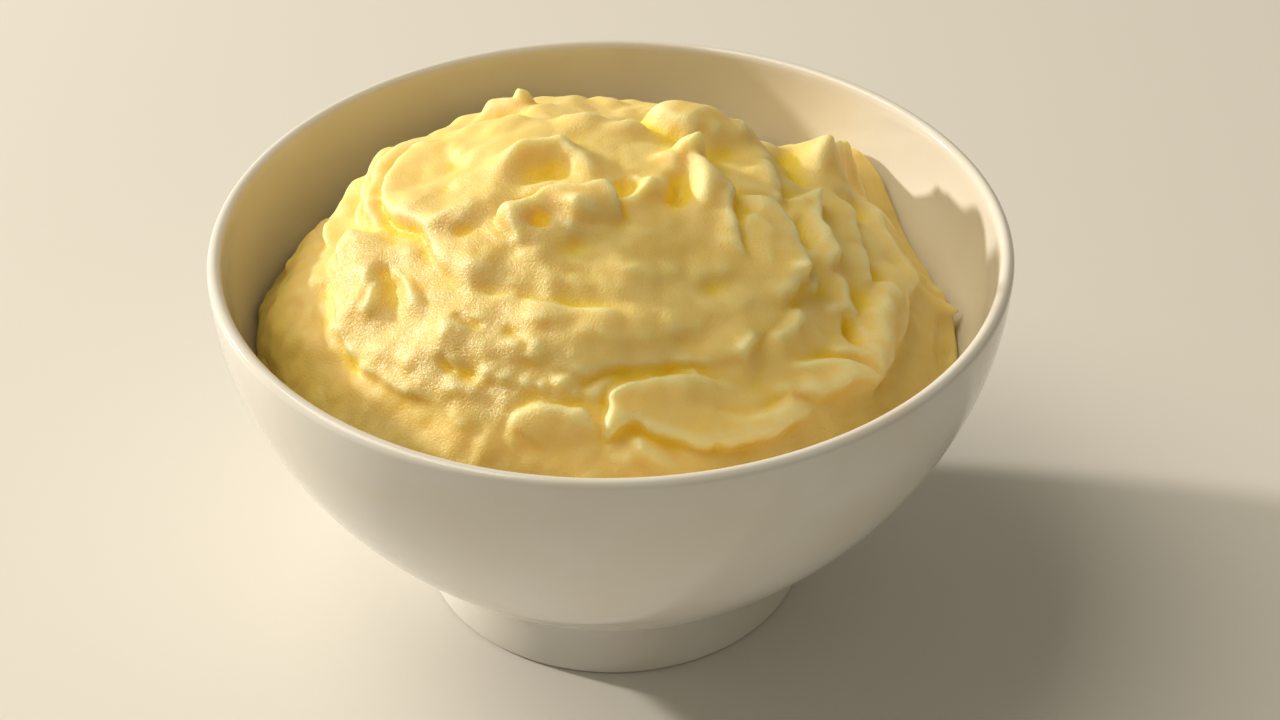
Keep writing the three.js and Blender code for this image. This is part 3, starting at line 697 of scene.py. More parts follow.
@dataclass(frozen=True)
class Bowl:
    """The footed bowl, a body of revolution whose wall thins towards the rim.

    The handles shape its curves. Those of the wall are steps from the neck and the rim, those of
    the neck a step in and a share of its height, and those of the floor shares of the wall's way
    and of the floor's radius.
    """

    rim_radius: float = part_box(Node.BOWL.value)[1].x / MM
    height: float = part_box(Node.BOWL.value)[1].z / MM
    rim_thickness: float = 2.8
    low_thickness: float = 5.0
    foot_radius: float = 42.0
    neck_radius: float = 40.4
    neck_height: float = 11.6
    ring_width: float = 3.4
    edge_radius: float = 0.8
    inner_edge_radius: float = 0.4
    recess_depth: float = 8.5
    recess_fillet: float = 3.0
    recess_shoulder: float = 3.4
    floor_dip: float = 1.4
    wall_handles: tuple[Point, Point] = ((8.5, 7.7), (0.4, -39.0))
    neck_handles: tuple[Point, Point] = ((-0.3, 0.4), (-0.4, 0.7))
    floor_handles: Point = (0.5, 0.6)
    segments: int = 192
    finish: Finish = field(default_factory=lambda: GlazeFinish("glaze_finish"))

    @cached_property
    def outer(self) -> Array:
        """The outer wall's profile, from the neck to just below the rim.

        Returns:
            Its points, one a row.
        """
        low, high = self.wall_handles
        corners = (
            (self.neck_radius, self.neck_height),
            (self.neck_radius + low[0], self.neck_height + low[1]),
            (self.rim_radius + high[0], self.height + high[1]),
            (self.rim_radius, self.height - self.rim_thickness / 2),
        )
        return bezier(corners, 60)

    @cached_property
    def inner(self) -> Array:
        """The inner wall's profile, which is the outer one moved in by the wall's thickness.

        Returns:
            Its points, one a row.
        """
        outer = self.outer
        along = np.gradient(outer, axis=0)
        inward = np.stack([-along[:, 1], along[:, 0]], axis=1)
        inward /= np.linalg.norm(inward, axis=1, keepdims=True)
        share = (outer[:, 1] - self.neck_height) / (self.height - self.neck_height)
        thickness = self.low_thickness + (self.rim_thickness - self.low_thickness) * np.clip(share, 0.0, 1.0)
        return outer + inward * thickness[:, None]

    @cached_property
    def floor(self) -> float:
        """Height of the inside floor on the axis."""
        return float(self.inner[0, 1]) - self.floor_dip

    def wall_radius(self, height: Array | float) -> Array:
        """The inner wall's radius at each height."""
        inner = self.inner
        return np.interp(height, inner[:, 1], inner[:, 0])

    def profile(self) -> Array:
        """The whole section, from the middle of the recess, round the wall, to the inside floor.

        Returns:
            Radius and height of each point, one a row.
        """
        inside_ring = self.foot_radius - self.ring_width - self.edge_radius
        half, edge, inner_edge = self.rim_thickness / 2, self.edge_radius, self.inner_edge_radius
        recess_corner = (inside_ring - self.recess_fillet, self.recess_depth - self.recess_shoulder)
        low, high = self.neck_handles
        neck = (
            (self.foot_radius, self.edge_radius),
            (self.foot_radius + low[0], self.neck_height * low[1]),
            (self.neck_radius + high[0], self.neck_height * high[1]),
            (self.neck_radius, self.neck_height),
        )
        inner = self.inner
        near, far = self.floor_handles
        floor = (
            tuple(inner[0]),
            tuple(inner[0] + (inner[0] - inner[4]) * near),
            (inner[0, 0] * far, self.floor),
            (0.0, self.floor),
        )
        return np.vstack(
            [
                (0.0, self.recess_depth),
                arc(recess_corner, self.recess_fillet, 90.0, 0.0, 7),
                arc((inside_ring + inner_edge, inner_edge), inner_edge, 180.0, 270.0, 4),
                arc((self.foot_radius - edge, edge), edge, 270.0, 355.0, 6),
                bezier(neck, 10)[:-1],
                self.outer,
                arc((self.rim_radius - half, self.height - half), half, 8.0, 172.0, 15),
                inner[::-1],
                bezier(floor, 12)[1:],
            ]
        )

    def build(self) -> bpy.types.Object:
        """Turns the bowl.

        Returns:
            The bowl's object.
        """
        line = self.profile() * MM
        points = np.stack([line[:, 0], np.zeros(len(line)), line[:, 1]], axis=1)
        steps = np.arange(len(line))
        edges = np.stack([steps[:-1], steps[1:]], axis=1)
        start = new_mesh("bowl_profile", points, np.empty((0, 3), int), edges)
        values = {"Rows": len(line), "Segments": self.segments, "Material": self.finish.material()}
        bowl = grow("glazed_bowl", start, lathe_tree(), values)
        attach(bowl, BODY)
        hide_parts(Node.BOWL.value)
        return bowl


# --- Marks that the spoon leaves in the heap ---
#
# All places are along the heap's surface, from its top: x to the right, y away from the eater.

# how far each kind of mark reaches, in its own widths, and how far more a fold does
FOLD_REACH, FOLD_MARGIN, RIDGE_REACH, LUMP_REACH = 2.2, 3.0, 3.2, 2.6

# how steep a fold's step is and how wide the trough at its foot, against its softness; how a wave
# narrows along its path and where it is fully up; how fast a tip narrows
FOLD_STEEPNESS, FOLD_FOOT = 1.5, 1.6
WAVE_WIDTHS, WAVE_CLIMB = (1.25, -0.35), 0.95
TIP_SHARPNESS = 4.0


@dataclass(frozen=True)
class Mark(ABC):
    """One form of the heap's surface."""

    @abstractmethod
    def area(self) -> tuple[Path, float]:
        """The places that the mark runs through, and how far beside them it reaches."""

    def reach(self) -> tuple[Array, Array]:
        """The lowest and highest corner of what the mark touches.

        Returns:
            The x and y of each.
        """
        places, margin = self.area()
        corners = np.array(places, float)
        return corners.min(axis=0) - margin, corners.max(axis=0) + margin

    @abstractmethod
    def press(self, x: Array, y: Array) -> Arrays:
        """Works out the mark at some places.

        Args:
            x: places, to the right.
            y: places, away from the eater.

        Returns:
            How far the surface rises there, and how far it is pushed along x and along y.
        """


def beside(path: Path, x: Array, y: Array) -> tuple[Array, Array, Array, Array]:
    """Where places lie beside a smooth line.

    Args:
        path: the line's points.
        x: places, to the right.
        y: places, away from the eater.

    Returns:
        Distance from the line, positive on its left, the share of its length at the nearest
        point, and the x and y of the direction to its left.
    """
    line = smooth_line(path, 6)
    spans = np.diff(line, axis=0)
    at = distances(line)
    lengths = np.diff(at)
    nearest = np.full(x.shape, np.inf)
    side, share = np.ones_like(x), np.zeros_like(x)
    left_x, left_y = np.zeros_like(x), np.zeros_like(x)
    for (ax, ay), (dx, dy), length, start in zip(line[:-1], spans / lengths[:, None], lengths, at[:-1]):
        along = np.clip((x - ax) * dx + (y - ay) * dy, 0.0, length)
        square = (x - ax - along * dx) ** 2 + (y - ay - along * dy) ** 2
        nearer = square < nearest
        nearest = np.where(nearer, square, nearest)
        left = np.where(dx * (y - ay) - dy * (x - ax) < 0.0, -1.0, 1.0)
        side = np.where(nearer, left, side)
        share = np.where(nearer, (start + along) / at[-1], share)
        left_x, left_y = np.where(nearer, -dy, left_x), np.where(nearer, dx, left_y)
    return np.sqrt(nearest) * side, share, left_x, left_y


def fade(share: Array, ends: Point) -> Array:
    """Lets a stroke die out over the given shares of its length."""
    return smooth(share / ends[0]) * smooth((1.0 - share) / ends[1])


def bell(off: Array, width: Array | float, power: float) -> Array:
    """Falls from 1 on a line towards 0 beside it. A higher power makes its sides steeper."""
    return np.exp(-((np.abs(off) / width) ** power))


def oval(at: Point, size: Point, turn: float, x: Array, y: Array) -> Array:
    """Distance from a middle in units of an ellipse's half axes, turned by some degrees.

    Args:
        at: the middle.
        size: the half axes.
        turn: in degrees, anticlockwise.
        x: places, to the right.
        y: places, away from the eater.

    Returns:
        The distance of each place.
    """
    c, s = math.cos(math.radians(turn)), math.sin(math.radians(turn))
    dx, dy = x - at[0], y - at[1]
    return np.hypot((dx * c + dy * s) / size[0], (dy * c - dx * s) / size[1])


@dataclass(frozen=True)
class Fold(Mark):
    """A stroke's edge: the surface left of the path stands proud and leans over the right side."""

    path: Path
    rise: float
    back: float = 6.0
    lean: float = 0.5
    soft: float = 0.7
    trough: float = 0.5
    ends: Point = (0.2, 0.2)

    def area(self) -> tuple[Path, float]:
        """Where the fold is, and how far beside that it reaches."""
        return self.path, FOLD_REACH * self.back + FOLD_MARGIN

    def press(self, x: Array, y: Array) -> Arrays:
        """Works out the fold, with the trough along its foot.

        Args:
            x: places, to the right.
            y: places, away from the eater.

        Returns:
            Rise and the pushes along x and y.
        """
        off, share, left_x, left_y = beside(self.path, x, y)
        hold = fade(share, self.ends)
        step = 0.5 * (1.0 + np.tanh(FOLD_STEEPNESS * off / self.soft))
        behind = np.maximum(off, 0.0)
        foot = FOLD_FOOT * self.soft
        dip = self.trough * np.exp(-(((off + foot) / foot) ** 2))
        push = hold * self.lean * step * np.exp(-((behind / (3.0 * self.soft + 1.0)) ** 2))
        rise = hold * (self.rise * step * np.exp(-((behind / self.back) ** 2)) - dip)
        return rise, -push * left_x, -push * left_y


@dataclass(frozen=True)
class Ridge(Mark):
    """A raised line, or with a negative rise a groove, with its own width on each side."""

    path: Path
    rise: float
    width: Point = (2.0, 2.0)
    lean: Point = (0.0, 0.0)
    ends: Point = (0.25, 0.25)
    power: float = 1.6

    def area(self) -> tuple[Path, float]:
        """Where the ridge is, and how far beside that it reaches."""
        return self.path, RIDGE_REACH * max(self.width)

    def press(self, x: Array, y: Array) -> Arrays:
        """Works out the ridge.

        Args:
            x: places, to the right.
            y: places, away from the eater.

        Returns:
            Rise and the pushes along x and y.
        """
        off, share, _, _ = beside(self.path, x, y)
        hold = fade(share, self.ends) * bell(off, np.where(off > 0.0, *self.width), self.power)
        return self.rise * hold, self.lean[0] * hold, self.lean[1] * hold


@dataclass(frozen=True)
class Wave(Mark):
    """A ridge that climbs along its path to a rounded end and hooks over."""

    path: Path
    rise: float
    width: float = 3.0
    lean: Point = (0.0, 0.0)
    power: float = 2.4

    def area(self) -> tuple[Path, float]:
        """Where the wave is, and how far beside that it reaches."""
        return self.path, RIDGE_REACH * self.width

    def press(self, x: Array, y: Array) -> Arrays:
        """Works out the wave.

        Args:
            x: places, to the right.
            y: places, away from the eater.

        Returns:
            Rise and the pushes along x and y.
        """
        off, share, _, _ = beside(self.path, x, y)
        width = self.width * (WAVE_WIDTHS[0] + WAVE_WIDTHS[1] * share)
        hold = smooth(share / WAVE_CLIMB) * bell(off, width, self.power)
        hook = hold**2 * share
        return self.rise * hold, self.lean[0] * hook, self.lean[1] * hook


@dataclass(frozen=True)
class Lump(Mark):
    """A lump, or with a negative rise a pit. A power over 1 steepens its side."""

    at: Point
    size: Point
    rise: float
    turn: float = 0.0
    power: float = 1.3

    def area(self) -> tuple[Path, float]:
        """Where the lump is, and how far beside that it reaches."""
        return (self.at,), LUMP_REACH * max(self.size)

    def press(self, x: Array, y: Array) -> Arrays:
        """The lump's rise at some places, and no push along x or y."""
        far = oval(self.at, self.size, self.turn, x, y)
        return self.rise * np.exp(-(far ** (2.0 * self.power))), np.zeros_like(x), np.zeros_like(x)


@dataclass(frozen=True)
class Tip(Mark):
    """A tip drawn up by the spoon, which leans."""

    at: Point
    size: Point
    rise: float
    lean: Point = (0.0, 0.0)
    turn: float = 0.0

    def area(self) -> tuple[Path, float]:
        """Where the tip is, and how far beside that it reaches."""
        return (self.at,), max(self.size)

    def press(self, x: Array, y: Array) -> Arrays:
        """Works out the tip.

        Args:
            x: places, to the right.
            y: places, away from the eater.

        Returns:
            Rise and the pushes along x and y.
        """
        square = oval(self.at, self.size, self.turn, x, y) ** 2
        hold = np.clip(1.0 - square, 0.0, 1.0) ** 2 / (1.0 + TIP_SHARPNESS * square)
        return self.rise * hold, self.lean[0] * hold, self.lean[1] * hold


LEFT_SIDE: tuple[Mark, ...] = (
    # the upper layer's edge over the smooth skirt, round to the front
    Fold(((-47.5, -5), (-50.6, -7), (-52.6, -12), (-53.8, -18), (-54, -25), (-53.2, -32), (-52.4, -36.5),
        (-50, -40.5), (-46.5, -44), (-42.5, -48), (-37.5, -52.5), (-34, -55), (-30, -56.5)), 1.7,
        back=12.0, soft=0.9, ends=(0.1, 0.2)),
    # upright folds high on the left, the outline's steps behind them
    Fold(((-36, 27), (-42, 23), (-45.5, 14), (-46, 6), (-46, -2), (-45.5, -8)), 2.8, back=4.5, lean=0.6,
        soft=0.8),
    Fold(((-42, 31), (-48, 24), (-50.5, 14), (-50.5, 4), (-50, -5)), 2.4, back=4.0, trough=0.4),
    Fold(((-52, 30), (-58, 24), (-62, 16), (-62.5, 6), (-60, 0)), 2.8, lean=0.4, soft=0.8),
    Fold(((-66, 28), (-72, 21), (-76, 14), (-78, 6)), 1.6, lean=0.4, soft=1.0, trough=0.4),
    # the big rounded lobe, whose edge runs on down and to the right
    Fold(((-31, 22), (-35.5, 18.5), (-39, 14.5), (-41, 7), (-41.4, 0), (-40.3, -6.5), (-37.5, -10.5),
        (-33.6, -14.2), (-32, -17.5), (-31, -22.5), (-28.5, -27.5), (-25, -31.5), (-19, -35)), 2.5,
        back=9.0, lean=0.8, soft=0.8, trough=0.9, ends=(0.12, 0.45)),
    # the lobe with a bright corner, then the three-sided hollow and its strands
    Fold(((-43, -11.5), (-46.5, -8.8), (-50.4, -5.6), (-53.6, -7), (-53.6, -13), (-51.4, -19)), 1.7,
        back=7.0, soft=0.8, ends=(0.2, 0.3)),
    Lump((-40.4, -26.4), (4.8, 2.5), -2.8, turn=-68.0, power=1.6),
    Lump((-46.4, -29.5), (2.6, 1.8), 0.9, turn=-60.0),
    Lump((-38.6, -34), (5, 2.8), -0.8, turn=-58.0),
    Fold(((-33, -37), (-34.8, -31), (-37.2, -26), (-40.6, -21)), 1.5, back=4.0, lean=0.3, soft=0.6,
        trough=0.2, ends=(0.3, 0.15)),
    Ridge(((-42.6, -18.5), (-44.6, -22.5), (-47.2, -26.8), (-51.4, -32)), 1.1, width=(1.4, 1.8),
        ends=(0.25, 0.3)),
    Ridge(((-42.2, -23), (-43.8, -27.5), (-45.6, -32.5)), 1.5, width=(0.8, 0.8)),
    Lump((-59, -18), (5, 10), -2.8, power=1.4),
    Lump((-51.6, -38.8), (2.4, 1.2), -1.6, turn=-30.0),
    Lump((-24.3, -19.4), (1.6, 1.1), -1.0, power=1.4),
    Lump((-25.5, -15.5), (4.4, 2.8), 1.1, power=1.4),
    Lump((-20.5, -15), (5, 3), 1.1, turn=20.0),
    Lump((-46, -14), (3.6, 4.2), 0.9),
    Lump((-57, 12), (8, 15), -3.4),
    Lump((-35, -7), (3.4, 4.6), 0.9),
    Lump((-28.6, -14), (3.6, 2.8), 0.9, turn=30.0),
    Lump((-37.5, -17.5), (2.6, 3.4), 0.8, turn=20.0),
    Lump((-30, 4), (5, 3.5), -0.7, turn=30.0, power=1.2),
)

TOP: tuple[Mark, ...] = (
    # open hollow with a thin scalloped rim behind it
    Ridge(((-20.5, -7.5), (-16, -2.4), (-12.2, 0.9), (-9.8, 0.7), (-7.2, 0.8), (-5, 1.4), (-2.4, -1.6),
        (0.5, -4.8), (4, -7.5)), 3.2, width=(2.6, 3.2), lean=(0, -0.3), ends=(0.4, 0.25), power=1.7),
    Lump((-11.8, 1.2), (2, 1.8), 0.8, power=1.2),
    Lump((-5.2, 1.6), (2.2, 1.8), 0.9, power=1.2),
    Lump((-7, -6.2), (6.8, 4.2), -1.4, turn=8.0, power=1.7),
    Lump((-6, -3.8), (4, 2.4), -0.8, turn=8.0, power=1.6),
    Lump((-11.2, -13.4), (3.2, 1.2), -2.0, turn=8.0, power=1.6),
    Ridge(((-14, -9.5), (-8, -9), (-2, -8.5)), 0.8, width=(1.4, 1.2)),
    Lump((-21.5, -11.5), (4.4, 3.4), 0.9, turn=20.0, power=1.2),
    Lump((-15, 6), (7, 3.4), 0.8, turn=15.0, power=1.2),
    # the flap in front with its corner, the pit below its left end, and the lump beside that
    Fold(((8, -21), (6.2, -16), (4.2, -11.8), (-1.6, -13), (-6.8, -14.8), (-9.4, -16.6), (-12, -16.9),
        (-15, -16.8), (-18, -19)), 4.0, back=7.0, lean=0.8, soft=0.6, trough=0.8, ends=(0.16, 0.14)),
    Lump((-8.6, -21), (2.2, 1.5), -2.6, power=1.8),
    Lump((-14, -19.4), (3.4, 2.4), 0.9, power=1.4),
    Ridge(((-0.8, -15.5), (-1.2, -20), (-2, -26)), 2.0, width=(5, 3), lean=(-0.3, 0), ends=(0.3, 0.3)),
    Lump((3.6, -18.5), (2.6, 2.2), -1.1, power=1.4),
    # the small hollow to its right with a curved lip
    Lump((7.6, -10.2), (2.8, 2.8), -2.6, power=1.8),
    Ridge(((4.6, -14.8), (8.2, -14.4), (11, -12.6), (11.6, -9.4), (10.2, -6.8)), 1.8, width=(0.9, 2.4)),
    Lump((9.4, -7.6), (0.9, 0.9), 1.1, power=1.0),
    Lump((14.2, -8.5), (2.6, 5), 1.0, turn=10.0),
    # the curl: a wave drawn up to the left, with a curtain of strands on its right
    Ridge(((24, -19), (23.4, -12.5), (23, -6), (22.2, 0), (20.8, 5)), 3.6, width=(2.2, 1.9),
        lean=(-0.6, -0.2), ends=(0.5, 0.12), power=2.3),
    Lump((17.8, -0.6), (3.4, 4.2), 2.0),
    Lump((20.4, 3), (3.4, 3), 3.1, power=3.0),
    Ridge(((28, -23), (27, -15), (26, -7), (24.6, 0)), 1.8, width=(1.6, 1.2), lean=(0.4, 0),
        ends=(0.5, 0.25)),
    Fold(((31.5, -28), (29.2, -20), (28.2, -12), (27.8, -5), (26, 1)), 1.7, back=4.0, lean=0.3, soft=0.6,
        trough=0.4, ends=(0.25, 0.2)),
    Ridge(((26.8, -19), (26, -11), (25, -4)), -0.5, width=(0.5, 0.5)),
    Lump((18.2, -9.8), (3, 3.8), -2.4, power=1.5),
    Ridge(((12, 1), (16, -0.5), (20, -1.5)), 1.2, width=(1.6, 1.2)),
    # smooth dome and shoulder behind the curl
    Lump((22.5, 17.5), (10, 8), 5.4, turn=-8.0, power=2.2),
    Lump((34, 13), (4.6, 8.5), 2.2, turn=10.0, power=1.9),
    Lump((6, 25), (13, 7), -1.5, power=1.4),
    Lump((4, 31), (5, 5), -0.8),
    Lump((3, 36), (5, 5), -1.0),
    Fold(((11, 25), (12.6, 18), (16, 12.6), (22, 9)), 1.8, back=8.0, lean=0.6, soft=0.9, trough=0.9),
    Fold(((38, -6), (38.5, 0), (36.5, 5), (33, 8)), 1.8, back=7.0, lean=0.6, soft=1.1, trough=0.8),
    # small swells and the edges of shallow sweeps
    Lump((0, 12), (4, 2.6), 1.2, turn=10.0, power=1.4),
    Lump((7.5, 11), (5, 2.6), 1.3, turn=20.0, power=1.4),
    Fold(((15, 9), (8, 14.5), (0, 16.5), (-8, 15.5)), 1.0, back=7.0, lean=0.4, soft=1.0, trough=0.3),
    Fold(((-9, 16.5), (-18, 20), (-25, 19), (-33, 15)), 1.0, back=8.0, lean=0.4, soft=1.0, trough=0.3),
    Lump((-13.4, 33.5), (1.9, 2.2), 3.0, power=4.0),
    Lump((-18.5, 32), (5.4, 3.2), 3.0, turn=-10.0, power=1.5),
    Lump((-18, 27.5), (4.6, 2.4), -2.0),
    Lump((-28, 10), (9, 5), -0.7, turn=40.0, power=1.0),
)

RIGHT_SIDE: tuple[Mark, ...] = (
    # the dome's outer edge over the right side, with a thinner layer on it
    Fold(((35, -34), (40.3, -27.5), (42, -22.5), (40.8, -15.5), (38.8, -11), (36.4, -7.4), (33, -6),
        (28.5, -6.5)), 2.8, back=9.0, lean=0.8, soft=0.6, trough=1.0),
    Fold(((30, -32), (34.5, -26), (35.5, -19), (33, -13.5), (27, -12)), 0.5, back=5.0, lean=0.3, soft=0.9,
        trough=0.3, ends=(0.35, 0.35)),
    Ridge(((36, -5), (39.4, -3.2), (43.4, -1), (46, 2)), 1.6, width=(1, 1.6)),
    Lump((42.9, -12.5), (1.8, 5.8), -2.4, turn=-12.0, power=1.6),
    # upright sheet with a spiky top
    Ridge(((44, 4.5), (46.2, 1.6), (46.1, -4), (45.5, -8.5), (46.9, -12), (48.5, -16.5), (48, -21)), 3.6,
        width=(1, 2.7), lean=(0.5, 0), ends=(0.1, 0.2)),
    Tip((46, 2), (2, 2), 1.4, lean=(0.4, 0.5)),
    # next sheet, and the hollows past it
    Fold(((54.5, -21), (57, -15), (57.3, -7), (56.6, 1), (55, 9), (51, 14)), 1.9, soft=0.6),
    Ridge(((49.5, -19), (51.3, -23), (50.5, -29)), 1.3, width=(1.8, 1.3), lean=(0.4, 0)),
    Lump((58.6, -13), (3, 1.7), -2.1, turn=40.0, power=1.6),
    Lump((58.8, 12.5), (2.4, 3.6), -2.0, power=1.4),
    Ridge(((62, 20), (63.5, 10), (65.5, 1), (69, -7)), 1.6, width=(2.2, 1.6)),
    Ridge(((37.5, -25), (41.5, -25.4), (45.6, -27)), 1.4, width=(1.8, 0.9), lean=(0.6, 0),
        ends=(0.4, 0.12)),
    # the blunt peak far right and the hollow before it
    Ridge(((50.5, 11), (49, 19), (48.6, 26.3), (51, 32), (54.9, 38.7), (59.5, 46)), 6.6, width=(3.8, 3.2),
        lean=(-0.4, 0), ends=(0.35, 0.2), power=1.7),
    Wave(((57, 11), (55, 18), (51.5, 25)), 3.0, lean=(-0.6, 0.4)),
    Lump((44, 17), (6.5, 7), -2.6, power=1.4),
    Ridge(((37, 22), (43, 27), (49, 29)), 1.4, width=(2.6, 2)),
    # the strap, its hole and the small webs
    Ridge(((59.5, -13), (60.6, -18.5), (59.2, -24), (58.2, -30), (57.4, -35.5), (55.6, -39.5),
        (51, -42.5)), 2.6, width=(2.3, 2.3), lean=(0.2, 0), ends=(0.15, 0.2), power=2.4),
    Lump((52.4, -32.8), (1.3, 2.9), -3.6, turn=8.0, power=1.9),
    Lump((54.5, -23.5), (2.6, 3.4), -1.7, power=1.5),
    Ridge(((46.5, -31), (50, -28.6), (55, -27.5)), 1.3, width=(1.2, 1.4)),
    Ridge(((47, -39), (50.5, -38), (55, -37)), 1.2, width=(1.2, 1.2)),
    Ridge(((33, -43.5), (38, -38.8), (42.4, -31)), 1.9, width=(1.3, 2.4)),
    Ridge(((27, -47.8), (28.6, -44.8), (31.6, -42)), 1.5, width=(1.3, 1.4)),
    Fold(((36, -35), (42, -28.5), (47, -22)), 0.9, back=5.0, lean=0.4, soft=0.9, trough=0.4),
    # the right skirt's edge and its knobs
    Fold(((48, -52), (55, -44.5), (61, -35), (65, -25), (68, -12), (71, 0), (69, 14)), 2.0, back=7.0,
        lean=0.6, soft=1.2, trough=0.6),
    Lump((42, 35), (8, 8), -2.6, power=1.2),
    Lump((-73, 22), (9, 15), -2.0, turn=-15.0),
    Lump((67, 20), (6, 8), 2.2),
    Tip((79.5, 0), (6.5, 5.5), 4.0, lean=(4.2, 0.5)),
    Tip((76, 10), (5, 4), 1.4, lean=(2, 0)),
    Lump((81, -15), (9, 3.4), -1.5, turn=80.0, power=1.5),
    Lump((-81, -25), (10, 3.4), -2.6, turn=-72.0, power=1.5),
)

FRONT: tuple[Mark, ...] = (
    # flat slab with a pointed left corner, and the pale flap beyond it
    Fold(((32, -52.6), (21, -52), (14.5, -52.6), (7.6, -54), (4.8, -54.6), (3, -56.6), (2.6, -59),
        (2.4, -61.4), (1.4, -65.2), (4.6, -62.6), (7.4, -61.4), (10.6, -63.5), (14, -64.6), (20.4, -65.4),
        (22, -64.2), (25, -64.4), (33, -62), (38.4, -58.4), (43.4, -54.2), (44, -50)), 2.6, back=9.0,
        lean=0.7, soft=0.45, ends=(0.2, 0.12)),
    Fold(((33, -53), (43, -50.6), (47.6, -48.4), (50.2, -45.6), (55, -41), (48, -41.4), (44.6, -42.6),
        (40, -44.4), (35, -47)), 2.6, back=5.0, soft=0.55, ends=(0.25, 0.25)),
    Lump((49.6, -44.8), (4.2, 2.4), 1.5, turn=32.0, power=1.5),
    Wave(((18.5, -72.5), (13.5, -70.2), (10.4, -68.2), (8.4, -65.6)), 2.8, width=1.7),
    Wave(((2, -72), (5, -69.6), (7.8, -66.4)), 2.0, width=1.5),
    Lump((-2, -72.5), (2.4, 1.4), 0.9, power=1.0),
    Tip((19.6, -51), (1.7, 1.3), 1.6, lean=(0.4, 0.6)),
    Tip((2.6, -62.6), (1.5, 2.4), 1.3, lean=(-0.3, -1.2)),
    Lump((14.6, -52.4), (1.1, 0.7), 0.6, power=1.0),
    Lump((10.6, -53.2), (1.1, 0.7), 0.5, power=1.0),
    # lobe at the left
    Fold(((0, -66), (-1, -62), (-2.4, -59.7), (-6.5, -58.9), (-11, -58.2), (-15, -59), (-18.4, -60.8),
        (-19, -64)), 1.7, lean=0.6, ends=(0.2, 0.25)),
    Lump((-9, -62.5), (9.5, 3.4), 1.0, turn=-5.0, power=1.8),
    Ridge(((-4, -56.5), (4, -57.2)), -0.8, width=(1.6, 1.6)),
    # bands round the middle
    Fold(((9, -41.5), (0, -41), (-8, -39), (-17, -36), (-26, -30)), 1.3, back=8.0, soft=1.0, trough=0.7),
    Fold(((-22, -50), (-10, -50.5), (-2, -52.8), (2.5, -51.8), (9, -50.2), (17, -49), (24, -48),
        (30, -44.5), (34.5, -39.5), (37, -32)), 1.1, back=10.0, trough=0.25),
    Ridge(((-3.5, -55), (2, -52.4), (7.5, -51)), -1.0, width=(0.8, 0.8)),
    Ridge(((13, -50.2), (18, -49.4), (22.5, -48.4)), -0.8, width=(0.8, 0.8)),
    Fold(((-8, -45.5), (4, -46.5), (16, -44.5), (26, -39)), 0.8, back=7.0, lean=0.3, soft=1.2, trough=0.3),
    Lump((24.8, -32.5), (4.6, 2.2), -1.4, turn=12.0, power=1.2),
    Ridge(((2, -30), (12, -31.5), (20, -29)), 0.7, width=(2.4, 2)),
    Ridge(((-12, -30), (-4, -33.5), (6, -34.5)), 0.7, width=(2.2, 1.6)),
    Lump((-1, -27.5), (5, 1.8), -0.8, turn=-8.0, power=1.2),
    Lump((-6.5, -53.6), (1.9, 1.4), 1.4),
    Lump((-14, -54), (1.9, 1.4), 1.3),
    Lump((-10.6, -54.6), (1.3, 1.1), 1.1),
    Lump((-17.5, -53), (1.5, 1.3), 1.0, power=1.0),
    Lump((-20.6, -51), (1.7, 1.1), 1.0, power=1.0),
    # chunks with creases between them, low on the left
    Lump((-30.4, -41.4), (4.5, 4), 0.9, power=1.7),
    Lump((-20.6, -46.2), (4.6, 2.6), 0.9, turn=-5.0, power=1.7),
    Ridge(((-27.6, -37), (-25.2, -39.6), (-21.4, -42.4)), -1.7, width=(1, 0.8)),
    Ridge(((-32.5, -45.8), (-27.8, -48.6), (-22.4, -51.6)), -1.5, width=(0.9, 0.8)),
    Ridge(((-18, -42.5), (-14.8, -45.6), (-12.6, -49)), -1.2, width=(1, 0.9)),
    Lump((-9.8, -49.8), (1.6, 1), -1.3, power=1.0),
    Lump((-14.4, -46.6), (1.6, 1.2), 1.0, power=1.0),
    Lump((-11.2, -47.4), (1.4, 1.1), 0.8, power=1.0),
    Lump((-34, -49.5), (3.4, 2.6), 0.5, turn=-30.0, power=1.4),
    Lump((-26.5, -53.4), (3.4, 2.2), 0.7, turn=-20.0, power=1.5),
    Lump((-40, -56.5), (8, 3.6), -1.3, turn=-32.0, power=1.4),
    Lump((-38.5, -44), (3, 2.2), 0.4, turn=-40.0, power=1.4),
    Lump((-44, -40), (2.6, 2.2), 0.4, turn=-40.0, power=1.4),
    Lump((-36, -37.5), (2.2, 3), 0.5, turn=30.0),
    Lump((-27, -42), (3.4, 4.6), 1.5, turn=10.0),
    Lump((-30, -52), (3.2, 2.6), 0.9),
    Ridge(((-28, -35.5), (-24, -38.5), (-19, -41)), 0.5, width=(1.5, 1.5)),
    Lump((-21, -29.5), (4.4, 3.4), 1.6),
    Lump((-22, -25.5), (5.5, 4.5), 1.3),
    Lump((-15, -34), (3.4, 2), 0.7, turn=-10.0),
)

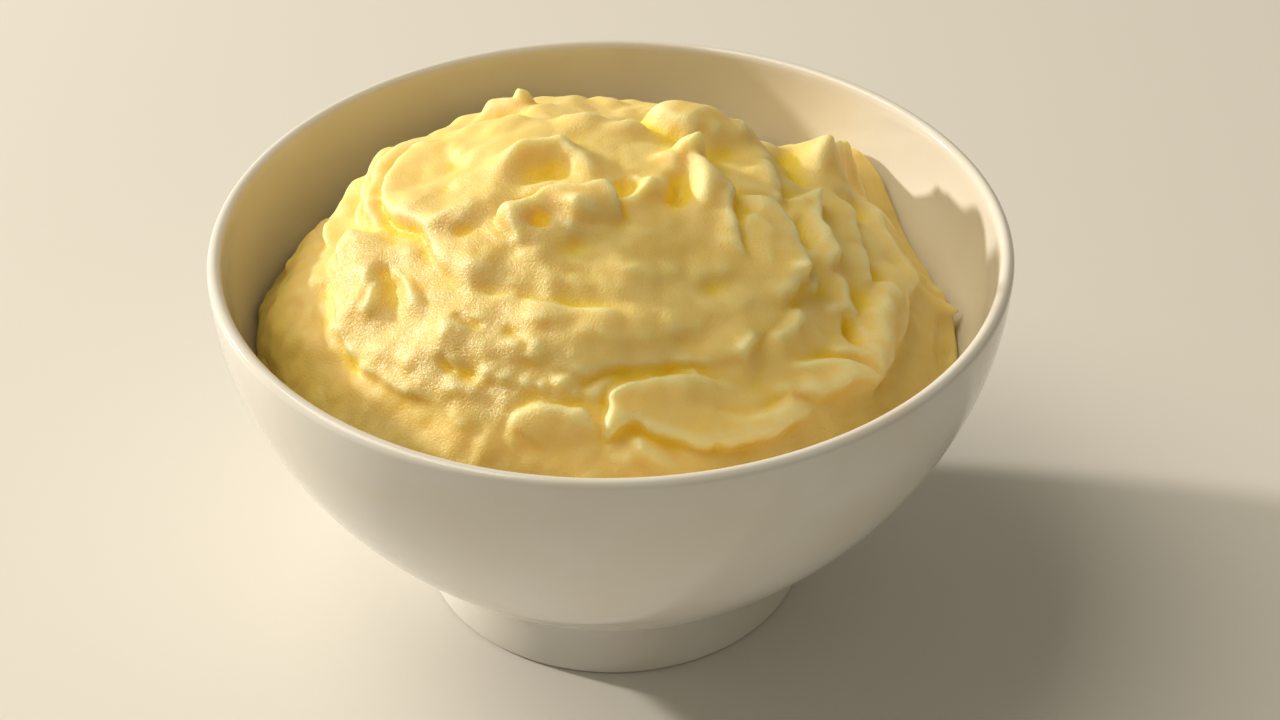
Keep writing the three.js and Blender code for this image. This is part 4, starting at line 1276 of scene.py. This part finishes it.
BACK: tuple[Mark, ...] = (
    Fold(((68, 30), (60, 44), (48, 56), (30, 66)), 2.2, lean=1.2, trough=0.8),
    Fold(((34, 50), (14, 60), (-12, 62), (-34, 54), (-48, 42)), 1.8, lean=1.2, trough=0.8),
    Fold(((20, 70), (0, 74), (-24, 70), (-46, 58), (-62, 42)), 2.6, back=8.0, lean=1.4, trough=0.8),
    Fold(((56, 54), (42, 68), (22, 77), (4, 80)), 2.2, lean=1.2, trough=0.8),
    Ridge(((-10, 52), (-2, 58), (8, 64)), 1.4, width=(2.4, 2.4)),
    Ridge(((-38, 60), (-24, 68), (-8, 70)), 1.8, width=(2.4, 2.4)),
    Lump((28, 52), (6, 4), -2.4, turn=-30.0, power=1.0),
    Lump((-28, 54), (6, 3.5), -2.2, turn=30.0, power=1.0),
    Lump((0, 62), (5, 3), 0.5, power=1.0),
    Wave(((18, 76), (28, 74), (38, 68)), 2.6, lean=(2, 1)),
    Lump((36, 55), (16, 9), -4.2, turn=-35.0),
    Lump((-41, 47), (10, 7), -1.8, turn=35.0, power=1.2),
    Lump((28, 46), (11, 7), -1.6, turn=-20.0),
)


@dataclass(frozen=True)
class SmallStrokes:
    """Short shallow strokes between the main ones, on arcs round the top.

    Each pair is the least that a measure can be, and how much a random number adds at most. The
    drift's pair moves that number to both sides of nought, and then widens it.
    """

    count: int
    seed: int
    radius: Range = (14.0, 52.0)
    length: Range = (7.0, 13.0)
    drift: Range = (-0.5, 5.0)
    rise: Range = (0.3, 0.5)
    back: Range = (3.0, 3.0)
    bow: float = 1.5

    def marks(self) -> tuple[Mark, ...]:
        """Lays the strokes out.

        Returns:
            The strokes.
        """
        strokes = []
        for i in range(self.count):
            out, turned, long, across, high, wide = (
                float(corner_value(i, row, self.seed)) for row in range(1, 7)
            )
            radius, turn = self.radius[0] + self.radius[1] * math.sqrt(out), 2.0 * math.pi * turned
            angle = (self.length[0] + self.length[1] * long) / radius
            drift = self.drift[1] * (across + self.drift[0])
            path = []
            for k in (-1, 0, 1):
                reach, place = radius + drift * k + self.bow * (1 - abs(k)), turn + angle * k / 2
                path.append((reach * math.cos(place), reach * math.sin(place)))
            rise, back = self.rise[0] + self.rise[1] * high, self.back[0] + self.back[1] * wide
            stroke = Fold(tuple(path), rise, back, lean=0.2, soft=0.9, trough=0.2, ends=(0.35, 0.35))
            strokes.append(stroke)
        return tuple(strokes)


# --- Heap ---


@dataclass
class Shell:
    """A closed mesh on a sphere: a direction for each corner, and the triangles between them."""

    directions: Array
    triangles: Indices

    @classmethod
    def ball(cls, levels: int) -> Shell:
        """A ball of nearly equal triangles, from an icosahedron.

        Args:
            levels: how fine it is. Each level after the first cuts the faces in four.

        Returns:
            The mesh.
        """
        grid = bmesh.new()
        bmesh.ops.create_icosphere(grid, subdivisions=levels, radius=1.0)
        directions = np.array([corner.co for corner in grid.verts], float)
        triangles = np.array([[corner.index for corner in face.verts] for face in grid.faces])
        grid.free()
        return cls(directions / np.linalg.norm(directions, axis=1, keepdims=True), triangles)

    def edges(self) -> tuple[Indices, Indices]:
        """The mesh's edges.

        Returns:
            The two corners of each edge, and the three edges of each triangle.
        """
        ends = np.sort(np.stack([self.triangles, np.roll(self.triangles, -1, axis=1)], axis=2), axis=2)
        keys, index = np.unique(ends[..., 0] * len(self.directions) + ends[..., 1], return_inverse=True)
        count = len(self.directions)
        return np.stack([keys // count, keys % count], axis=1), index.reshape(self.triangles.shape)

    def split(self, edges: Indices, sides: Indices, chosen: NDArray[np.bool_]) -> Shell:
        """Halves some edges and cuts the triangles at the new corners.

        Args:
            edges: the two corners of each edge.
            sides: the three edges of each triangle.
            chosen: which edges to halve.

        Returns:
            The finer mesh.
        """
        middles = self.directions[edges[chosen]].sum(axis=1)
        middles /= np.linalg.norm(middles, axis=1, keepdims=True)
        added = np.full(len(edges), -1)
        added[chosen] = len(self.directions) + np.arange(len(middles))
        cut = added[sides]
        cuts = (cut >= 0).sum(axis=1)
        parts = [self.triangles[cuts == 0]]
        for count in (1, 2, 3):
            rows = cuts == count
            corners, middle = self.triangles[rows], cut[rows]
            # turned so that the only cut edge, or the only whole one, comes first
            lone = np.argmax(middle >= 0 if count == 1 else middle < 0, axis=1)
            order = (lone[:, None] + np.arange(3)) % 3
            a, b, c = np.take_along_axis(corners, order, axis=1).T
            ab, bc, ca = np.take_along_axis(middle, order, axis=1).T
            pieces = {
                1: ((a, ab, c), (ab, b, c)),
                2: ((a, b, bc), (a, bc, ca), (ca, bc, c)),
                3: ((a, ab, ca), (b, bc, ab), (c, ca, bc), (ab, bc, ca)),
            }[count]
            parts += [np.stack(piece, axis=1) for piece in pieces]
        return Shell(np.vstack([self.directions, middles]), np.vstack(parts))


@dataclass(frozen=True)
class Layer:
    """One layer of noise over the heap, with what its rise gains or loses where the mash is torn."""

    cell: float
    seed: int
    rise: float
    torn_rise: float = 0.0
    pattern: Callable[[Array, Array, float, int], Array] = noise

    def over(self, x: Array, y: Array, torn: Array) -> Array:
        """How far the layer rises at some places."""
        return (self.rise + self.torn_rise * torn) * self.pattern(x, y, self.cell, self.seed)


def wander(x: Array, y: Array, steps: tuple[tuple[float, float, int, int], ...]) -> tuple[Array, Array]:
    """Moves places about a little, so that no mark's edge runs quite true.

    Args:
        x: places, to the right.
        y: places, away from the eater.
        steps: how far each noise moves them, the size of its cells, and its seeds for x and y.

    Returns:
        The moved x and y.
    """
    moved_x, moved_y = x, y
    for reach, cell, seed_x, seed_y in steps:
        moved_x = moved_x + reach * noise(x, y, cell, seed_x)
        moved_y = moved_y + reach * noise(x, y, cell, seed_y)
    return moved_x, moved_y


@dataclass(frozen=True)
class Heap:
    """The heap of mash: a smooth mound off the bowl's axis, with the spoon's marks on it.

    The torn, band, skirt-shade-left and edge-lift pairs are a ramp's start and width. The skirt's
    painted shade ends and the grain's rise are the least and what a mask adds. The shoulders are radii
    with their fall from the top, and the foot is steps from the contact line. The underside follows the
    wall from a step over its lowest point to a step under the contact line. The heel is a step from
    that lowest point, and the sole a share of its radius and a height over the floor.
    """

    bowl: Bowl
    marks: tuple[Mark, ...]
    top: float = 100.6
    contact: float = 59.0
    contact_tilt: float = 2.2
    tilt_azimuth: float = 210.0
    bank: float = 12.0
    bank_azimuth: float = 42.0
    bank_width: float = 13.0
    lean: Point = (-5.0, 0.8)
    gap: float = 0.15
    edge_fade: float = 4.0
    edge_lift: Range = (0.55, 0.45)
    slope_step: float = 0.5
    under_fade: float = 24.0
    under_wall: Range = (3.0, -4.0)
    heel: Point = (-3.0, 1.6)
    sole: Point = (0.5, 1.2)
    sole_middle: float = 0.8
    torn_left: Range = (4.0, -24.0)
    torn_front: Range = (1.0, -18.0)
    torn_rim: Range = (66.0, -5.0)
    band_start: Range = (12.0, 14.0)
    bands: tuple[tuple[float, int, float, int], ...] = ((0.5, 18, 6.5, 11), (0.16, 40, 3.2, 12))
    top_share: float = 0.85
    skirt_share: float = 0.755
    skirt_fade: float = 0.1
    # the skirt loses this share of the hollows' painted shade, and gets painted shade of its own, more at
    # the left
    skirt_filling: float = 0.6
    skirt_shade_ends: Range = (0.55, 0.45)
    skirt_shade_left: Range = (0.0, -40.0)
    top_fade: float = 0.02
    shoulders: Path = (
        (0.0, 0.0), (12.0, -1.0), (25.0, -4.4), (38.0, -9.6), (49.0, -16.0), (58.0, -23.6), (64.5, -30.8)
    )
    foot: Path = ((-3.2, 5.0), (-0.6, 2.6), (0.0, 0.0))
    broad: tuple[Layer, ...] = (Layer(19.0, 5, 0.8), Layer(9.0, 6, 0.5))
    curds: tuple[Layer, ...] = (Layer(4.6, 8, 0.36, -0.14),)
    clods: tuple[Layer, ...] = (Layer(6.6, 15, 0.2, -0.12, clumps), Layer(3.4, 16, 0.05, 0.02, clumps))
    crumbs: tuple[Layer, ...] = (Layer(3.6, 7, 0.2, 0.1),)
    fine_crumbs: tuple[Layer, ...] = (Layer(2.1, 9, 0.06, 0.04),)
    wandering: tuple[tuple[float, float, int, int], ...] = ((0.9, 7.0, 1, 3), (0.35, 2.6, 2, 4))
    fine_wandering: tuple[tuple[float, float, int, int], ...] = ((0.4, 2.6, 2, 4),)
    levels: int = 7
    most_triangles: int = 196_000
    refine_shares: Range = (0.72, 1.0)
    longest_edge: float = 1.2
    chord_error: float = 0.08
    pitch: float = 0.45
    settled: float = 0.45
    mask_pitch: float = 0.6
    mask_widths: Range = (1.2, 3.6)
    hollow_depths: Range = (2.0, 1.6)
    hollow_start: float = 0.22
    crest_height: float = 0.4
    crest_start: float = 0.1
    grain_cell: float = 1.9
    grain_seed: int = 31
    grain_rise: Range = (0.05, 0.09)
    finish: Finish = field(default_factory=lambda: PotatoFinish("potato_finish"))

    @cached_property
    def side(self) -> Array:
        """The mound's side, from its top to the bowl: round shoulders, then a steep flank.

        Returns:
            Its points, one a row.
        """
        wall = float(self.bowl.wall_radius(self.contact)) - self.gap
        knots = [(radius, self.top + fall) for radius, fall in self.shoulders]
        knots += [(wall + inward, self.contact + climb) for inward, climb in self.foot]
        return smooth_line(tuple(knots), 12)

    @cached_property
    def underside(self) -> Array:
        """Under the contact line the mash follows the wall down and the floor in.

        Returns:
            Its points, one a row.
        """
        wall = self.bowl.inner[::-4] - (self.gap, 0.0)
        low = self.bowl.inner[0]
        lowest, highest = low[1] + self.under_wall[0], self.contact + self.under_wall[1]
        down = wall[(wall[:, 1] < highest) & (wall[:, 1] > lowest)]
        heel = (low[0] + self.heel[0], low[1] + self.heel[1])
        sole = (low[0] * self.sole[0], self.bowl.floor + self.sole[1])
        return np.vstack([self.side[-1], down, heel, sole, (0.0, self.bowl.floor + self.sole_middle)])

    @cached_property
    def length(self) -> float:
        """The way from the mound's top to the wall."""
        return float(distances(self.side)[-1])

    def tilted(self, line: Array, distance: Array, turn: Array, share: Array) -> tuple[Array, Array]:
        """Reads a profile, raised or lowered with the contact line, which tilts and climbs a bank.

        Args:
            line: the profile.
            distance: places along it.
            turn: azimuth of each place, in radians.
            share: how much of the contact line's lift each place has.

        Returns:
            Radius and height of each place.
        """
        at = distances(line)
        radius, height = np.interp(distance, at, line[:, 0]), np.interp(distance, at, line[:, 1])
        aside = (np.degrees(turn) - self.bank_azimuth) / self.bank_width
        lift = self.contact_tilt * np.cos(turn - math.radians(self.tilt_azimuth)) * share
        lift += self.bank * np.exp(-(aside**2)) * share**3
        widening = self.bowl.wall_radius(height + lift) - self.bowl.wall_radius(height)
        return radius + share * widening, height + lift

    def mound(self, x: Array, y: Array) -> Array:
        """The smooth mound at places along its surface, one point a row.

        Args:
            x: places, to the right.
            y: places, away from the eater.

        Returns:
            The points, one a row.
        """
        reach, turn = np.hypot(x, y), np.arctan2(y, x)
        edge = ramp(reach / self.length, *self.edge_lift)
        radius, height = self.tilted(self.side, reach, turn, edge)
        lean = np.clip(1.0 - (reach / self.length) ** 2, 0.0, 1.0)
        across = radius * np.cos(turn) + self.lean[0] * lean
        away = radius * np.sin(turn) + self.lean[1] * lean
        return np.stack([across, away, height], axis=-1)

    def torn(self, x: Array, y: Array) -> Array:
        """How grainy the mash is, from 0 to 1: most where the spoon tore it, low on the left."""
        low_left = ramp(x, *self.torn_left) * ramp(y, *self.torn_front)
        return low_left * ramp(np.hypot(x, y), *self.torn_rim)

    def grid(self, pitch: float) -> Arrays:
        """Lays a square grid of places over the whole heap.

        Args:
            pitch: the way from one place to the next.

        Returns:
            The grid's ticks, the same along x and y, and the x and y of each place.
        """
        cells = int(self.length / pitch) + 2
        ticks = np.arange(-cells, cells + 1) * pitch
        return ticks, *(side.ravel() for side in np.meshgrid(ticks, ticks, indexing="ij"))

    @cached_property
    def pressed(self) -> tuple[Array, Array]:
        """All marks and swirls together, on a grid of places, settled a little as wet mash does.

        Returns:
            The grid's places along x and y, and grids of the rise and the pushes along x and y.
        """
        ticks, x, y = self.grid(self.pitch)
        wander_x, wander_y = wander(x, y, self.wandering)
        bands = sum(rise * swirl(x, y, *pattern) for rise, *pattern in self.bands)
        total = np.zeros((3, x.size))
        torn = self.torn(x, y)
        for layer in self.broad:
            total[0] += layer.over(x, y, torn)
        for layer in self.curds:
            total[0] += layer.over(wander_x, wander_y, torn)
        total[0] += ramp(np.hypot(x, y), *self.band_start) * bands
        for layer in self.clods:
            total[0] += layer.over(wander_x, wander_y, torn)
        for mark in self.marks:
            low, high = mark.reach()
            near = (wander_x > low[0]) & (wander_x < high[0]) & (wander_y > low[1]) & (wander_y < high[1])
            if near.any():
                total[:, near] += mark.press(wander_x[near], wander_y[near])
        grids = total.reshape(3, len(ticks), len(ticks))
        return ticks, np.stack([blurred(grid, self.settled / self.pitch) for grid in grids])

    def relief(self, x: Array, y: Array) -> Arrays:
        """Works out all marks, the swirls and the small bumps.

        Args:
            x: places, to the right.
            y: places, away from the eater.

        Returns:
            Rise over the smooth mound, and the pushes along x and y.
        """
        ticks, pressed = self.pressed
        rise, push_x, push_y = (sampled(part, ticks, x, y) for part in pressed)
        torn = self.torn(x, y)
        wander_x, wander_y = wander(x, y, self.fine_wandering)
        for layer in self.crumbs:
            rise += layer.over(x, y, torn)
        for layer in self.fine_crumbs:
            rise += layer.over(wander_x, wander_y, torn)
        return rise, push_x, push_y

    def surface(self, x: Array, y: Array) -> Array:
        """The heap's surface above the contact line.

        Args:
            x: places, to the right.
            y: places, away from the eater.

        Returns:
            The points, one a row.
        """
        hold = ramp(np.hypot(x, y), self.length, -self.edge_fade)[:, None]
        rise, push_x, push_y = self.relief(x, y)
        step = self.slope_step
        along_x = (self.mound(x + step, y) - self.mound(x - step, y)) / (2 * step)
        along_y = (self.mound(x, y + step) - self.mound(x, y - step)) / (2 * step)
        out = np.cross(along_x, along_y)
        out /= np.linalg.norm(out, axis=1, keepdims=True)
        move = rise[:, None] * out + push_x[:, None] * along_x + push_y[:, None] * along_y
        points = self.mound(x, y) + hold * move
        radius = np.hypot(points[:, 0], points[:, 1])
        limit = self.bowl.wall_radius(points[:, 2]) - self.gap
        points[:, :2] *= np.minimum(1.0, limit / np.maximum(radius, self.gap))[:, None]
        return points

    def unroll(self, directions: Array) -> Arrays:
        """Turns directions on the sphere into places on the heap.

        Args:
            directions: one a row.

        Returns:
            The share of the way from the top down to the middle of the underside, and the x and y
            along the mound's surface of those above the contact line.
        """
        share = np.arccos(np.clip(directions[:, 2], -1.0, 1.0)) / np.pi
        turn = np.arctan2(directions[:, 1], directions[:, 0])
        reach = np.minimum(share / self.top_share, 1.0) * self.length
        return share, reach * np.cos(turn), reach * np.sin(turn)

    def place(self, directions: Array) -> Array:
        """Puts directions on the sphere onto the heap.

        Args:
            directions: one a row.

        Returns:
            The points, one a row.
        """
        share, x, y = self.unroll(directions)
        points = np.empty_like(directions)
        above = share <= self.top_share
        points[above] = self.surface(x[above], y[above])
        under = (share[~above] - self.top_share) / (1.0 - self.top_share)
        turn = np.arctan2(directions[~above, 1], directions[~above, 0])
        distance = under * distances(self.underside)[-1]
        lift = 1.0 - smooth(distance / self.under_fade)
        radius, height = self.tilted(self.underside, distance, turn, lift)
        radius = np.minimum(radius, self.bowl.wall_radius(height) - self.gap)
        points[~above] = np.stack([radius * np.cos(turn), radius * np.sin(turn), height], axis=1)
        return points

    def refine(self, shell: Shell, points: Array, most: int) -> tuple[Shell, Array]:
        """Halves the edges that are longest or furthest from the true form.

        Args:
            shell: the mesh on the sphere.
            points: where its corners are on the heap.
            most: how many triangles the result may have.

        Returns:
            The finer mesh and its points.
        """
        edges, sides = shell.edges()
        low = shell.directions[edges][..., 2].max(axis=1) < math.cos(math.pi * self.top_share)
        middles = shell.directions[edges].sum(axis=1)
        middles /= np.linalg.norm(middles, axis=1, keepdims=True)
        true = self.place(middles)
        ends = points[edges]
        length = np.linalg.norm(ends[:, 0] - ends[:, 1], axis=1)
        error = np.linalg.norm(true - ends.mean(axis=1), axis=1)
        need = np.where(low, 0.0, length / self.longest_edge + error / self.chord_error)
        count = (most - len(shell.triangles)) // 2
        chosen = np.zeros(len(edges), bool)
        chosen[np.argpartition(-need, count)[:count]] = True
        return shell.split(edges, sides, chosen), np.vstack([points, true[chosen]])

    def masks(self, directions: Array) -> dict[Mask, Array]:
        """Works out where the heap is hollow, thin-edged, torn, and low against the wall, for painted shade
        in the hollows and on the skirt and a painted glow on thin edges.

        Args:
            directions: one a row.

        Returns:
            Each mask's number for each direction.
        """
        share, x, y = self.unroll(directions)
        ticks, *places = self.grid(self.mask_pitch)
        rise = self.relief(*places)[0].reshape(len(ticks), len(ticks))
        close, wide = (blurred(rise, width / self.mask_pitch) - rise for width in self.mask_widths)
        above = ramp(share, self.top_share, -self.top_fade)
        fine, broad = self.hollow_depths
        # painted shade in the hollows, where the relief lies below its blurred surroundings
        hollow = smooth(close / fine + wide / broad - self.hollow_start)
        # painted glow on thin raised edges, where the relief stands above its blurred surroundings
        crest = smooth(-close / self.crest_height - self.crest_start)
        found = {Mask.HOLLOW: hollow, Mask.CREST_GLOW: crest}
        masks = {mask: above * sampled(values, ticks, x, y) for mask, values in found.items()}
        masks[Mask.TORN] = above * self.torn(x, y)
        low = ramp(share / self.top_share, self.skirt_share, self.skirt_fade)
        # the skirt loses some of the hollows' painted shade
        masks[Mask.HOLLOW] *= 1.0 - self.skirt_filling * low
        least, more = self.skirt_shade_ends
        # painted shade on the skirt against the wall, more at the left
        masks[Mask.SKIRT_SHADE] = above * low * (least + more * ramp(x, *self.skirt_shade_left))
        return masks

    def roughen(self, mesh: bpy.types.Mesh, points: Array, torn: Array) -> None:
        """Moves the mesh's corners in and out a little, so that the mash is grainy.

        Args:
            mesh: the heap's mesh.
            points: its corners.
            torn: how grainy each of them is.
        """
        normals = np.array([corner.vector for corner in mesh.vertex_normals])
        even, more = self.grain_rise
        rise = (even + more * torn) * grain(points, self.grain_cell, self.grain_seed)
        rise *= points[:, 2] > self.contact + 1.0
        mesh.vertices.foreach_set("co", ((points + rise[:, None] * normals) * MM).ravel())
        mesh.update()

    def build(self) -> bpy.types.Object:
        """Makes the heap.

        Returns:
            The heap's object.
        """
        shell = Shell.ball(self.levels)
        points = self.place(shell.directions)
        for share in self.refine_shares:
            shell, points = self.refine(shell, points, int(share * self.most_triangles))
        name = "heaped_mash"
        mesh = new_mesh(name, points * MM, shell.triangles)
        masks = self.masks(shell.directions)
        self.roughen(mesh, points, masks[Mask.TORN])
        for mask, values in masks.items():
            keep_mask(mesh, mask, values)
        mesh.materials.append(self.finish.material())
        heap = new_object(name, mesh)
        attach(heap, BODY)
        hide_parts(Node.MASH.value)
        return heap


def blurred(values: Array, width: float) -> Array:
    """Blurs a grid of numbers with a bell curve of the given width in cells.

    Args:
        values: the grid's numbers.
        width: of the curve, in cells.

    Returns:
        The blurred grid.
    """
    reach = int(3 * width)
    bell = np.exp(-0.5 * (np.arange(-reach, reach + 1) / width) ** 2)
    bell /= bell.sum()
    padded = np.pad(values, reach, mode="edge")
    for axis in (0, 1):
        padded = np.apply_along_axis(np.convolve, axis, padded, bell, mode="same")
    return padded[reach:-reach, reach:-reach]


def sampled(values: Array, ticks: Array, x: Array, y: Array) -> Array:
    """Reads a grid of numbers between its corners.

    Args:
        values: the grid's numbers.
        ticks: its places, the same along x and y.
        x: places to read, to the right.
        y: places to read, away from the eater.

    Returns:
        The number at each place.
    """
    u, v = ((place - ticks[0]) / (ticks[1] - ticks[0]) for place in (x, y))
    i, j = (np.clip(place.astype(int), 0, len(ticks) - 2) for place in (u, v))
    u, v = u - i, v - j
    near = values[i, j] * (1 - v) + values[i, j + 1] * v
    far = values[i + 1, j] * (1 - v) + values[i + 1, j + 1] * v
    return near * (1 - u) + far * u


# --- Studio ---


@dataclass(frozen=True)
class Lamp:
    """A square soft lamp that faces the bowl."""

    name: str
    azimuth: float
    height: float
    size: float
    power: float
    colour: Colour
    distance: float = 2400.0
    aim_height: float = 80.0

    def hang(self) -> None:
        """Hangs the lamp at its azimuth and height, both in degrees from what it faces."""
        light = bpy.data.lights.new(self.name, "AREA")
        light.size = self.size * MM
        light.energy = self.power
        light.color = self.colour
        lamp = bpy.data.objects.new(self.name, light)
        bpy.context.scene.collection.objects.link(lamp)
        turn, climb = math.radians(self.azimuth), math.radians(self.height)
        way = Vector((math.cos(turn) * math.cos(climb), math.sin(turn) * math.cos(climb), math.sin(climb)))
        aim = Vector((0.0, 0.0, self.aim_height * MM))
        lamp.location = aim + way * self.distance * MM
        lamp.rotation_euler = (aim - lamp.location).to_track_quat("-Z", "Y").to_euler()


@dataclass(frozen=True)
class Studio:
    """Pale floor, a warm lamp low at the back left, a wide one above it, and the camera."""

    floor_size: float = 3000.0
    lamps: tuple[Lamp, ...] = (
        Lamp("low_lamp", azimuth=155.0, height=17.5, size=150.0, power=57.0, colour=(1.0, 0.905, 0.765)),
        Lamp("wide_lamp", azimuth=162.0, height=60.0, size=1600.0, power=32.0, colour=(1.0, 0.905, 0.72)),
    )
    sky_colour: Colour = (1.0, 0.89, 0.67)
    sky_strength: float = 0.23
    camera_place: tuple[float, float, float] = (0.0, -336.616, 302.548)
    camera_pitch: float = 0.6430
    camera_yaw: float = 0.0169
    camera_roll: float = -0.0026
    lens: float = 56.25
    sensor: float = 36.0
    nearest: float = 10.0

    def floor(self) -> bpy.types.Object:
        """Lays the floor.

        Returns:
            The floor's object.
        """
        half = self.floor_size / 2 * MM
        corners = np.array([(-half, -half, 0.0), (half, -half, 0.0), (half, half, 0.0), (-half, half, 0.0)])
        mesh = new_mesh("floor", corners, np.array([(0, 1, 2, 3)]))
        mesh.materials.append(FloorFinish("floor_finish").material())
        floor = new_object("floor", mesh)
        return floor

    def sky(self) -> None:
        """Fills the room with even light."""
        world = bpy.data.worlds.new("room")
        world.use_nodes = True
        background = world.node_tree.nodes["Background"]
        background.inputs["Color"].default_value = (*self.sky_colour, 1.0)
        background.inputs["Strength"].default_value = self.sky_strength
        bpy.context.scene.world = world
        bpy.context.scene.view_settings.view_transform = "Standard"

    def camera(self) -> None:
        """Sets up the camera, which looks down at the bowl from the eater's side."""
        pitch, yaw, roll = self.camera_pitch, self.camera_yaw, self.camera_roll
        forward = Vector(
            (math.sin(yaw) * math.cos(pitch), math.cos(yaw) * math.cos(pitch), -math.sin(pitch))
        )
        level = Vector((math.cos(yaw), -math.sin(yaw), 0.0))
        upright = level.cross(forward)
        right = math.cos(roll) * level + math.sin(roll) * upright
        up = math.cos(roll) * upright - math.sin(roll) * level
        lens = bpy.data.cameras.new("camera")
        lens.sensor_width = self.sensor
        lens.lens = self.lens
        lens.clip_start = self.nearest * MM
        camera = bpy.data.objects.new("camera", lens)
        bpy.context.scene.collection.objects.link(camera)
        turn = Matrix((right, up, -forward)).transposed().to_4x4()
        camera.matrix_world = Matrix.Translation(Vector(self.camera_place) * MM) @ turn
        bpy.context.scene.camera = camera


def report(thing: bpy.types.Object) -> None:
    """Logs a finished piece's name, faces and size."""
    size = ", ".join(f"{side / MM:.1f}" for side in thing.dimensions)
    log.info("%s: %d faces, %s mm", thing.name, len(thing.data.polygons), size)


def main() -> None:
    """Builds the pieces in order and writes how large the model came out."""
    logging.basicConfig(level=logging.INFO, format="%(message)s")
    studio = Studio()
    studio.camera()
    for lamp in studio.lamps:
        lamp.hang()
    studio.sky()
    report(studio.floor())
    bowl = Bowl()
    report(bowl.build())
    marks = (*LEFT_SIDE, *TOP, *RIGHT_SIDE, *FRONT, *BACK, *SmallStrokes(count=70, seed=21).marks())
    heap = Heap(bowl, marks).build()
    report(heap)


if __name__ == "__main__":
    main()
